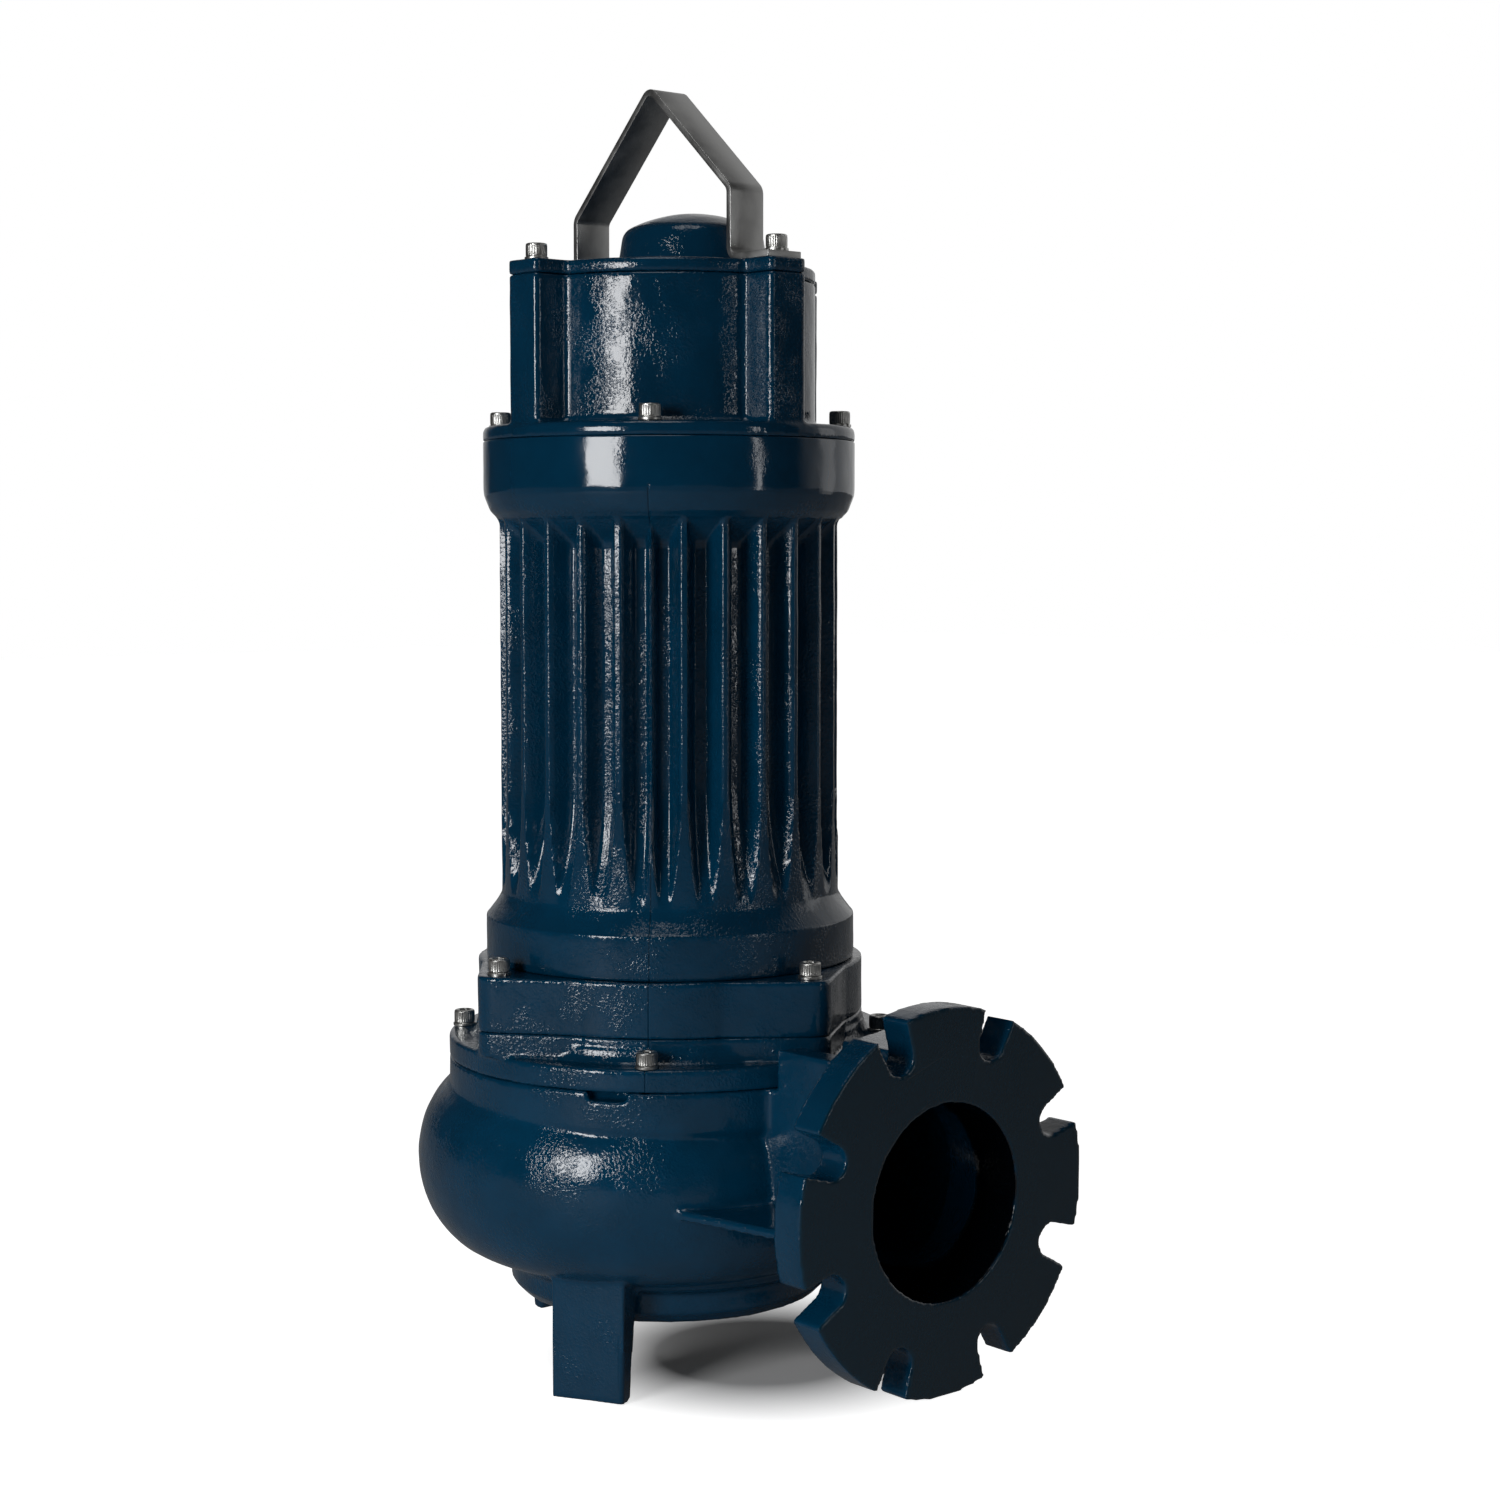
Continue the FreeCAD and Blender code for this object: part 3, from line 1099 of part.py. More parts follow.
os.makedirs("parts", exist_ok=True)
for node in nodes:
    node.Shape.exportStep(os.path.join("parts", node.Label + ".step"))
print(len(nodes), "nodes written")
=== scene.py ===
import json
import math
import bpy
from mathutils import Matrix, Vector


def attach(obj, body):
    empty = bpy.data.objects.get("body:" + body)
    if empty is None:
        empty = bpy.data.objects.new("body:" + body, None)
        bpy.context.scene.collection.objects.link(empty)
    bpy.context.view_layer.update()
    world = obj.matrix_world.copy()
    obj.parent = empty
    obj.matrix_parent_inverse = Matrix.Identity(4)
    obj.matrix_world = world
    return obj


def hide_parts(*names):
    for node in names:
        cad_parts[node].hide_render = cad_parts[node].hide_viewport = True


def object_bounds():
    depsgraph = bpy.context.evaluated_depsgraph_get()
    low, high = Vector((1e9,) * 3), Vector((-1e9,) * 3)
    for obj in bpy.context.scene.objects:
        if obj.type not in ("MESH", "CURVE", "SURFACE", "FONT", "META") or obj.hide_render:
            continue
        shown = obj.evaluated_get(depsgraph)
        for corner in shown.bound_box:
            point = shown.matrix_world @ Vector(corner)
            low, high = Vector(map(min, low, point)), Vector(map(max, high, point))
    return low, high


bl_info = {
    "name": "Sewage pump",
    "version": (1, 0, 0),
    "blender": (4, 5, 0),
    "location": "View3D > Sidebar > Pump",
    "description": "Dresses the frame of a submersible sewage pump with castings, paint and fasteners",
    "category": "Object",
}

import bmesh
import bpy
from bpy.props import FloatProperty, FloatVectorProperty, IntProperty, PointerProperty
from mathutils import Matrix, Vector, noise

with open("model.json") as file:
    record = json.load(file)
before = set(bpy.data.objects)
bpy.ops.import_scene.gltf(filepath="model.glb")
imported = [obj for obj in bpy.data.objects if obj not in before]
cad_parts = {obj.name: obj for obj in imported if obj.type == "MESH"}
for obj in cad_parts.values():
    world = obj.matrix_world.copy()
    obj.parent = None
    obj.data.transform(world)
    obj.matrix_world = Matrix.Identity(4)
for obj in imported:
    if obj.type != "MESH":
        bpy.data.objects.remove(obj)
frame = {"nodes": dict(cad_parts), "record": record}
CAD_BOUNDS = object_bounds()
NODES = frame["nodes"]
RECORD = frame["record"]
SLOT_OF = {part["node"]: part["material_slot"] for part in RECORD["subparts"]}
BODY_OF = {name: body for body, names in RECORD["behaviour"]["bodies"].items() for name in names}


def node_reach(name, axis, high):
    """How far a CAD node reaches along an axis."""
    values = [vert.co[axis] for vert in NODES[name].data.vertices]
    return max(values) if high else min(values)


# Floor, ends of the motor housing, face and middle of the discharge flange, and radius of its bore, painted
# nearly black as shade
FLOOR_LEVEL = CAD_BOUNDS[0][2]
BASE_LEVEL = node_reach("stator_housing", 2, False)
COLLAR_LEVEL = node_reach("stator_housing", 2, True)
FLANGE_FACE = node_reach("volute_casing", 0, True)
OUTLET = Vector(next(mount["pos_m"] for mount in RECORD["mounts"] if mount["name"] == "discharge_outlet"))
OUTLET_RADIUS = 0.0727

# The camera of the photograph, in the frame's metres
CAMERA_PLACE = Vector((1.5995, -1.2915, FLOOR_LEVEL + 0.6288))
CAMERA_RIGHT = Vector((0.6514, 0.7587, 0.0))
CAMERA_UP = Vector((-0.0586, 0.0503, 0.9970))
CAMERA_LENS = 63.73
CAMERA_SENSOR = 36.0

# How bright glossy faces see the white backdrop, on which side, and the light that comes from all round
GLOSS_SHARE = 0.55
BACKDROP_SIDE = Vector((-0.34, 0.94, 0.0))
AMBIENT = 0.02

# The round patch of floor round the pump where the white glow fades into painted shade, in which the real
# shadow shows too: middle, radius of full shade, radius where white begins
SHADE_X = 0.062
SHADE_Y = 0.038
SHADE_INNER = 0.080
SHADE_OUTER = 0.18

# What glossy faces see of the floor: share of its colour, and share of its white
FLOOR_IN_GLOSS = 0.25
WHITE_IN_GLOSS = 0.10

# Closeness at which two vertices of a mesh are the same one
MERGE = 1e-6


# Settings

class PaintSettings(bpy.types.PropertyGroup):
    """The navy paint on the castings."""
    colour: FloatVectorProperty(
        name="Paint colour", description="Colour of the paint on the castings",
        default=(0.0003, 0.0250, 0.0565), subtype="COLOR", size=3, min=0.0, max=1.0)
    gloss: FloatProperty(
        name="Roughness", description="Roughness of the paint film",
        default=0.08, min=0.0, max=1.0, subtype="FACTOR")
    machined: FloatVectorProperty(
        name="Flange colour", description="Colour of the machined flange face",
        default=(0.0010, 0.0190, 0.0360), subtype="COLOR", size=3, min=0.0, max=1.0)
    grain: FloatProperty(
        name="Grain size", description="Size of the sand grain that shows through the paint",
        default=0.0022, min=0.0002, max=0.02, unit="LENGTH")
    wave: FloatProperty(
        name="Waviness", description="Height of the slow unevenness of the cast walls",
        default=0.00035, min=0.0, max=0.003, unit="LENGTH")


class FastenerSettings(bpy.types.PropertyGroup):
    """The socket head screws and their spring washers."""
    head_radius: FloatProperty(
        name="Head radius", description="Radius of a screw head",
        default=0.008, min=0.002, max=0.03, unit="LENGTH")
    head_height: FloatProperty(
        name="Head height", description="Height of a screw head",
        default=0.010, min=0.002, max=0.03, unit="LENGTH")
    socket: FloatProperty(
        name="Socket", description="Half width across the corners of the hexagon socket",
        default=0.0046, min=0.001, max=0.02, unit="LENGTH")
    ridges: IntProperty(
        name="Ridges", description="Ridges of the knurl round a screw head",
        default=30, min=8, max=80)
    washer_radius: FloatProperty(
        name="Washer radius", description="Outer radius of a spring washer",
        default=0.0088, min=0.002, max=0.03, unit="LENGTH")
    washer_height: FloatProperty(
        name="Washer height", description="Thickness of a spring washer",
        default=0.0022, min=0.0005, max=0.01, unit="LENGTH")


class RibSettings(bpy.types.PropertyGroup):
    """The ribs of the motor housing."""
    pitch: FloatProperty(
        name="Rib pitch", description="Angle between neighbouring ribs",
        default=math.radians(13.74), min=0.05, max=1.0, subtype="ANGLE")
    tip_radius: FloatProperty(
        name="Rib tips", description="Radius over the rib tips",
        default=0.1305, min=0.05, max=0.3, unit="LENGTH")
    valley_radius: FloatProperty(
        name="Valley floor", description="Radius of the floor between two ribs",
        default=0.112, min=0.05, max=0.3, unit="LENGTH")
    half_floor: FloatProperty(
        name="Half floor", description="Half width of the floor between two ribs",
        default=0.005, min=0.001, max=0.03, unit="LENGTH")
    crest_round: FloatProperty(
        name="Crest rounding", description="How soft the rib tips are",
        default=0.0011, min=0.0001, max=0.01, unit="LENGTH")


class StageSettings(bpy.types.PropertyGroup):
    """The floor and the soft lights of the studio."""
    floor_colour: FloatVectorProperty(
        name="Floor colour", description="Colour of the studio floor",
        default=(0.8, 0.8, 0.8), subtype="COLOR", size=3, min=0.0, max=1.0)
    # Glow that the floor keeps inside the patch of painted shade round the pump
    lift: FloatProperty(
        name="Floor lift", description="Light added to the floor where the camera sees it",
        default=0.02, min=0.0, max=1.0, subtype="FACTOR")
    power: FloatProperty(
        name="Light", description="Power of the largest light",
        default=60.0, min=0.0, max=1000.0, unit="POWER")


# Materials

def new_material(name):
    """A material with its node tree and its shader."""
    material = bpy.data.materials.new(name)
    material.use_nodes = True
    return material, material.node_tree, material.node_tree.nodes["Principled BSDF"]


def add_node(tree, kind, **values):
    """A node of a material with its attributes set."""
    node = tree.nodes.new(kind)
    for name, value in values.items():
        setattr(node, name, value)
    return node


def object_place(tree):
    """The place on the object, in metres."""
    return add_node(tree, "ShaderNodeTexCoord").outputs["Object"]


def grain(tree, place, size, detail=4.0):
    """Noise whose grains have the given size in metres."""
    node = add_node(tree, "ShaderNodeTexNoise")
    tree.links.new(place, node.inputs["Vector"])
    node.inputs["Scale"].default_value = 1.0 / size
    node.inputs["Detail"].default_value = detail
    node.inputs["Roughness"].default_value = 0.55
    return node.outputs["Fac"]


def spread(tree, value, low, high, to_low, to_high):
    """A value moved from one range to another."""
    node = add_node(tree, "ShaderNodeMapRange")
    tree.links.new(value, node.inputs["Value"])
    node.inputs["From Min"].default_value = low
    node.inputs["From Max"].default_value = high
    node.inputs["To Min"].default_value = to_low
    node.inputs["To Max"].default_value = to_high
    return node.outputs["Result"]


def tint(tree, factor, first, second):
    """A colour between two colours, the first of which may come from another node."""
    node = add_node(tree, "ShaderNodeMix", data_type="RGBA")
    tree.links.new(factor, node.inputs["Factor"])
    if isinstance(first, bpy.types.NodeSocket):
        tree.links.new(first, node.inputs["A"])
    else:
        node.inputs["A"].default_value = (*first, 1.0)
    node.inputs["B"].default_value = (*second, 1.0)
    return node.outputs["Result"]


def bump(tree, height, distance, strength, under=None):
    """A bump of a height map, on top of another bump."""
    node = add_node(tree, "ShaderNodeBump")
    tree.links.new(height, node.inputs["Height"])
    node.inputs["Distance"].default_value = distance
    node.inputs["Strength"].default_value = strength
    if under is not None:
        tree.links.new(under, node.inputs["Normal"])
    return node.outputs["Normal"]


def axis_values(tree, place):
    """The three coordinates of a place on the object."""
    node = add_node(tree, "ShaderNodeSeparateXYZ")
    tree.links.new(place, node.inputs["Vector"])
    return node.outputs["X"], node.outputs["Y"], node.outputs["Z"]


def maths(tree, operation, first, second=None):
    """One step of arithmetic on one or two values, each a number or from another node."""
    node = add_node(tree, "ShaderNodeMath", operation=operation)
    for socket, value in zip(node.inputs, (first, second)):
        if isinstance(value, (int, float)):
            socket.default_value = value
        elif value is not None:
            tree.links.new(value, socket)
    return node.outputs["Value"]


def band(tree, value, low, high, soft):
    """One between two levels and nothing outside them, with soft ends."""
    rise = spread(tree, value, low - soft, low + soft, 0.0, 1.0)
    fall = spread(tree, value, high - soft, high + soft, 1.0, 0.0)
    return maths(tree, "MULTIPLY", rise, fall)


def distance_off(tree, first, second):
    """The length across two lengths that stand square to each other."""
    squares = maths(tree, "ADD", maths(tree, "MULTIPLY", first, first),
                    maths(tree, "MULTIPLY", second, second))
    return maths(tree, "POWER", squares, 0.5)


def cloudy(tree, value):
    """Noise stretched so that its middle range runs from nothing to one."""
    return spread(tree, value, 0.3, 0.7, 0.0, 1.0)


def coat_colour(tree, place, face, inside, settings):
    """Navy in two shades, dark on the machined flange face, and nearly black in the outlet as painted shade.
    """
    base = tuple(settings.colour)
    pale = tuple(channel * 1.3 for channel in base)
    patches = spread(tree, grain(tree, place, 0.05, 3.0), 0.35, 0.7, 0.0, 1.0)
    coat = tint(tree, patches, base, pale)
    coat = tint(tree, face, coat, settings.machined)
    # Painted shade: the wall of the outlet bore goes nearly black, whatever light reaches it
    return tint(tree, inside, coat, (0.0006, 0.0012, 0.0022))


def cast_surface(tree, place, face, settings):
    """Bumps under the paint: coarse swells, sand in patches, and the line between two moulds."""
    x, y, z = axis_values(tree, place)
    turned_band = band(tree, z, COLLAR_LEVEL - 0.046, COLLAR_LEVEL + 0.011, 0.003)
    smooth = maths(tree, "MAXIMUM", turned_band, maths(tree, "MULTIPLY", face, 0.8))
    rough = maths(tree, "SUBTRACT", 1.0, maths(tree, "MULTIPLY", smooth, 0.88))
    coarse = maths(tree, "MULTIPLY", grain(tree, place, settings.grain * 3.2, 2.0), rough)
    pimples = spread(tree, grain(tree, place, settings.grain, 2.0), 0.45, 0.78, 0.0, 1.0)
    patch = spread(tree, grain(tree, place, 0.035, 2.0), 0.42, 0.60, 0.20, 1.0)
    sand = maths(tree, "MULTIPLY", maths(tree, "MULTIPLY", pimples, rough), patch)
    off_line = maths(tree, "ABSOLUTE", maths(tree, "ADD", x, y))
    parted = band(tree, z, BASE_LEVEL - 0.076, COLLAR_LEVEL - 0.037, 0.003)
    seam = maths(tree, "MULTIPLY", spread(tree, off_line, 0.0003, 0.0015, 1.0, 0.0), parted)
    normal = bump(tree, coarse, 0.0005, 0.4)
    normal = bump(tree, sand, 0.00035, 0.8, normal)
    return bump(tree, seam, -0.0009, 0.8, normal)


def painted_iron(settings):
    """Glossy navy paint over sand-cast iron, smoother on the turned collar, duller on the flange face."""
    material, tree, shader = new_material("navy_paint")
    place = object_place(tree)
    x, y, z = axis_values(tree, place)
    face = spread(tree, x, FLANGE_FACE - 0.0012, FLANGE_FACE - 0.0004, 0.0, 1.0)
    # The wall of the outlet bore, which gets painted shade
    off_axis = distance_off(tree, maths(tree, "SUBTRACT", y, OUTLET.y), maths(tree, "SUBTRACT", z, OUTLET.z))
    inside = maths(tree, "MULTIPLY", spread(tree, off_axis, OUTLET_RADIUS, OUTLET_RADIUS + 0.0008, 1.0, 0.0),
                   spread(tree, x, 0.10, 0.12, 0.0, 1.0))
    tree.links.new(coat_colour(tree, place, face, inside, settings), shader.inputs["Base Color"])
    film = grain(tree, place, settings.grain * 9)
    gloss = spread(tree, film, 0.3, 0.75, settings.gloss - 0.03, settings.gloss + 0.05)
    duller = maths(tree, "MULTIPLY", face, 0.13)
    tree.links.new(maths(tree, "ADD", gloss, duller), shader.inputs["Roughness"])
    tree.links.new(cast_surface(tree, place, face, settings), shader.inputs["Normal"])
    shader.inputs["Specular IOR Level"].default_value = 0.5
    return material


def metal(name, colour, worn, roughness, grain_size, scratch=0.00004):
    """A bare metal with fine grain and uneven gloss."""
    material, tree, shader = new_material(name)
    place = object_place(tree)
    shader.inputs["Metallic"].default_value = 1.0
    patches = cloudy(tree, grain(tree, place, grain_size * 14, 3.0))
    tree.links.new(tint(tree, patches, colour, worn), shader.inputs["Base Color"])
    fine = grain(tree, place, grain_size)
    tree.links.new(spread(tree, fine, 0.3, 0.7, roughness - 0.07, roughness + 0.07),
                   shader.inputs["Roughness"])
    tree.links.new(bump(tree, fine, scratch, 0.6), shader.inputs["Normal"])
    return material


def strap_steel():
    """Dull rolled steel with lines along the strap."""
    material, tree, shader = new_material("strap_steel")
    place = object_place(tree)
    shader.inputs["Metallic"].default_value = 1.0
    stretch = add_node(tree, "ShaderNodeMapping")
    tree.links.new(place, stretch.inputs["Vector"])
    stretch.inputs["Scale"].default_value = (0.12, 1.0, 0.12)
    lines = grain(tree, stretch.outputs["Vector"], 0.0009, 3.0)
    cloud = grain(tree, place, 0.02, 4.0)
    steel = tint(tree, cloudy(tree, cloud), (0.42, 0.42, 0.415), (0.58, 0.58, 0.57))
    tree.links.new(steel, shader.inputs["Base Color"])
    tree.links.new(spread(tree, cloud, 0.3, 0.7, 0.36, 0.52), shader.inputs["Roughness"])
    tree.links.new(bump(tree, lines, 0.00006, 0.7), shader.inputs["Normal"])
    return material


def dull(name, colour, second, roughness, grain_size, height):
    """Rubber, board, varnish or seal faces: not metal, lightly grained."""
    material, tree, shader = new_material(name)
    place = object_place(tree)
    patches = cloudy(tree, grain(tree, place, grain_size * 8, 3.0))
    tree.links.new(tint(tree, patches, colour, second), shader.inputs["Base Color"])
    fine = grain(tree, place, grain_size)
    tree.links.new(spread(tree, fine, 0.3, 0.7, roughness - 0.06, roughness + 0.06),
                   shader.inputs["Roughness"])
    tree.links.new(bump(tree, fine, height, 0.6), shader.inputs["Normal"])
    return material


def stacked_sheets():
    """Sheet steel of the motor cores, its edges showing as fine lines."""
    material, tree, shader = new_material("stacked_sheets")
    place = object_place(tree)
    shader.inputs["Metallic"].default_value = 1.0
    lines = add_node(tree, "ShaderNodeTexWave", wave_type="BANDS", bands_direction="Z")
    tree.links.new(place, lines.inputs["Vector"])
    lines.inputs["Scale"].default_value = 320.0
    lines.inputs["Distortion"].default_value = 0.2
    tree.links.new(tint(tree, lines.outputs["Fac"], (0.20, 0.20, 0.21), (0.42, 0.42, 0.43)),
                   shader.inputs["Base Color"])
    tree.links.new(bump(tree, lines.outputs["Fac"], 0.0001, 0.5), shader.inputs["Normal"])
    shader.inputs["Roughness"].default_value = 0.45
    return material


def winding_varnish():
    """Varnished copper wire, wound round the motor axis."""
    material, tree, shader = new_material("winding_varnish")
    place = object_place(tree)
    turns = add_node(tree, "ShaderNodeTexWave", wave_type="RINGS", rings_direction="Z")
    tree.links.new(place, turns.inputs["Vector"])
    turns.inputs["Scale"].default_value = 160.0
    turns.inputs["Distortion"].default_value = 3.0
    tree.links.new(tint(tree, turns.outputs["Fac"], (0.20, 0.06, 0.02), (0.46, 0.18, 0.07)),
                   shader.inputs["Base Color"])
    tree.links.new(bump(tree, turns.outputs["Fac"], 0.0006, 0.8), shader.inputs["Normal"])
    shader.inputs["Roughness"].default_value = 0.3
    return material


def all_materials():
    """The finish of every material slot of the record."""
    paint = bpy.context.scene.pump_paint
    return {
        "paint": painted_iron(paint),
        "impeller": metal("as_cast_iron", (0.16, 0.16, 0.165), (0.24, 0.235, 0.23), 0.55, 0.0012, 0.0002),
        "strap": strap_steel(),
        "screws": metal("screw_steel", (0.40, 0.40, 0.39), (0.55, 0.55, 0.53), 0.34, 0.0006),
        "steel": metal("ground_steel", (0.55, 0.55, 0.57), (0.66, 0.66, 0.67), 0.28, 0.0005),
        "bearing_steel": metal("bearing_steel", (0.70, 0.70, 0.72), (0.76, 0.76, 0.77), 0.14, 0.0004),
        "seal_rubber": dull("seal_rubber", (0.012, 0.012, 0.012), (0.02, 0.02, 0.02), 0.6, 0.0008, 0.00005),
        "carbide": dull("seal_carbide", (0.05, 0.05, 0.055), (0.08, 0.08, 0.085), 0.3, 0.0008, 0.00003),
        "core": stacked_sheets(),
        "end_rings": metal("cast_aluminium", (0.68, 0.69, 0.70), (0.76, 0.77, 0.78), 0.42, 0.001, 0.0001),
        "winding": winding_varnish(),
        "brass": metal("turned_brass", (0.62, 0.43, 0.16), (0.72, 0.53, 0.22), 0.3, 0.0006),
        "board": dull("terminal_board", (0.05, 0.04, 0.035), (0.08, 0.065, 0.055), 0.5, 0.001, 0.00008),
        "gland": metal("nickel_plate", (0.56, 0.55, 0.51), (0.66, 0.65, 0.61), 0.26, 0.0006),
    }


MATERIALS = {}


# Mesh building

def finished(name, mesh, node):
    """An object that stands for a CAD node, has its finish and rides with its body."""
    thing = bpy.data.objects.new(name, mesh)
    bpy.context.scene.collection.objects.link(thing)
    mesh.materials.clear()
    mesh.materials.append(MATERIALS[SLOT_OF[node]])
    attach(thing, BODY_OF[node])
    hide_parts(node)


def shade(mesh, angle=None):
    """Smooth shading, with edges sharper than an angle in degrees kept crisp."""
    mesh.shade_smooth()
    if angle is not None:
        mesh.set_sharp_from_angle(angle=math.radians(angle))


def node_copy(node):
    """A merged copy of a CAD node's triangles."""
    shape = bmesh.new()
    shape.from_mesh(NODES[node].data)
    bmesh.ops.remove_doubles(shape, verts=shape.verts, dist=MERGE)
    return shape


def mesh_of(shape, name):
    """A mesh made of a finished shape, which is freed."""
    mesh = bpy.data.meshes.new(name)
    shape.to_mesh(mesh)
    shape.free()
    return mesh


def unevenness(spot):
    """How far a cast wall swells at a place, as a share of its waviness."""
    return noise.noise(spot * 26.0) + 0.5 * noise.noise(spot * 75.0)


def skin(name, node, voxel, keep, wave):
    """A cast skin over a node: even mesh of a given fineness, soft edges, fewer faces, slow waves."""
    mesh = mesh_of(node_copy(node), name)
    thing = bpy.data.objects.new(name, mesh)
    bpy.context.scene.collection.objects.link(thing)
    remesh = thing.modifiers.new("skin", "REMESH")
    remesh.mode = "VOXEL"
    remesh.voxel_size = voxel
    remesh.adaptivity = 0.0
    soften = thing.modifiers.new("soften", "SMOOTH")
    soften.factor = 0.5
    soften.iterations = 2
    thin = thing.modifiers.new("thin", "DECIMATE")
    thin.ratio = keep
    graph = bpy.context.evaluated_depsgraph_get()
    cast = bpy.data.meshes.new_from_object(thing.evaluated_get(graph))
    bpy.data.objects.remove(thing)
    bpy.data.meshes.remove(mesh)
    soft = bmesh.new()
    soft.from_mesh(cast)
    soft.normal_update()
    for vert in soft.verts:
        vert.co += vert.normal * (unevenness(vert.co) * wave)
    soft.to_mesh(cast)
    soft.free()
    cast.name = name
    shade(cast)
    finished(name, cast, node)


def crisp(name, node, width):
    """A machined node with narrow bevels on its edges."""
    shape = node_copy(node)
    bmesh.ops.dissolve_limit(shape, angle_limit=math.radians(0.8), verts=shape.verts, edges=shape.edges)
    edge_angle = math.radians(40.0)
    sharp = [edge for edge in shape.edges if edge.is_manifold and edge.calc_face_angle(0.0) > edge_angle]
    bmesh.ops.bevel(shape, geom=sharp, offset=width, offset_type="OFFSET", segments=2, profile=0.5,
                    affect="EDGES", clamp_overlap=True, material=-1)
    mesh = mesh_of(shape, name)
    shade(mesh, 35.0)
    finished(name, mesh, node)


def rounded(corners, radius):
    """A closed (radius, height) outline with its corners cut round."""
    points = []
    count = len(corners)
    for index in range(count):
        corner = Vector(corners[index])
        before = Vector(corners[index - 1]) - corner
        after = Vector(corners[(index + 1) % count]) - corner
        reach = min(radius, before.length * 0.45, after.length * 0.45)
        start = corner + before.normalized() * reach
        end = corner + after.normalized() * reach
        for share in (0.0, 0.35, 0.65, 1.0):
            straight = start.lerp(end, share)
            points.append(straight.lerp(corner, 2.0 * share * (1.0 - share)))
    return points


def spun(corners, steps, radius, longest):
    """A closed outline turned round the motor axis, its long sides in short lengths."""
    shape = bmesh.new()
    outline = rounded(corners, radius)
    dots = []
    for first, second in zip(outline, outline[1:] + outline[:1]):
        lengths = 1 + int((second - first).length / longest)
        for index in range(lengths):
            point = first.lerp(second, index / lengths)
            dots.append(shape.verts.new((point.x, 0.0, point.y)))
    for first, second in zip(dots, dots[1:] + dots[:1]):
        shape.edges.new((first, second))
    bmesh.ops.spin(shape, geom=shape.verts[:] + shape.edges[:], cent=(0.0, 0.0, 0.0), axis=(0.0, 0.0, 1.0),
                   dvec=(0.0, 0.0, 0.0), angle=math.tau, steps=steps, use_merge=True)
    bmesh.ops.remove_doubles(shape, verts=shape.verts, dist=MERGE)
    bmesh.ops.recalc_face_normals(shape, faces=shape.faces)
    return shape


def next_loop(shape, edges, move):
    """A loop of edges pulled out to a new loop, each new vertex moved."""
    made = bmesh.ops.extrude_edge_only(shape, edges=edges)["geom"]
    verts = {item for item in made if isinstance(item, bmesh.types.BMVert)}
    for vert in verts:
        vert.co = move(vert.co)
    return [item for item in made if isinstance(item, bmesh.types.BMEdge)
            and item.verts[0] in verts and item.verts[1] in verts]


def smooth_least(first, second, width):
    """The smaller of two lengths, with a soft change from one to the other."""
    share = max(width - abs(first - second), 0.0) / width
    return min(first, second) - share * share * width * 0.25


# Operators

class PUMP_OT_casing(bpy.types.Operator):
    """Cast skin of the spiral casing with its feet, neck and flange"""
    bl_idname = "pump.casing"
    bl_label = "Spiral casing"

    def execute(self, context):
        skin("casing_casting", "volute_casing", voxel=0.0022, keep=0.44,
             wave=context.scene.pump_paint.wave)
        return {"FINISHED"}


class PUMP_OT_covers(bpy.types.Operator):
    """Cast skins of the volute cover and the oil chamber housing"""
    bl_idname = "pump.covers"
    bl_label = "Cover and oil chamber"

    def execute(self, context):
        wave = context.scene.pump_paint.wave
        skin("cover_casting", "volute_cover", voxel=0.0018, keep=0.6, wave=wave)
        skin("oil_chamber_casting", "oil_chamber_housing", voxel=0.0018, keep=0.6, wave=wave)
        return {"FINISHED"}


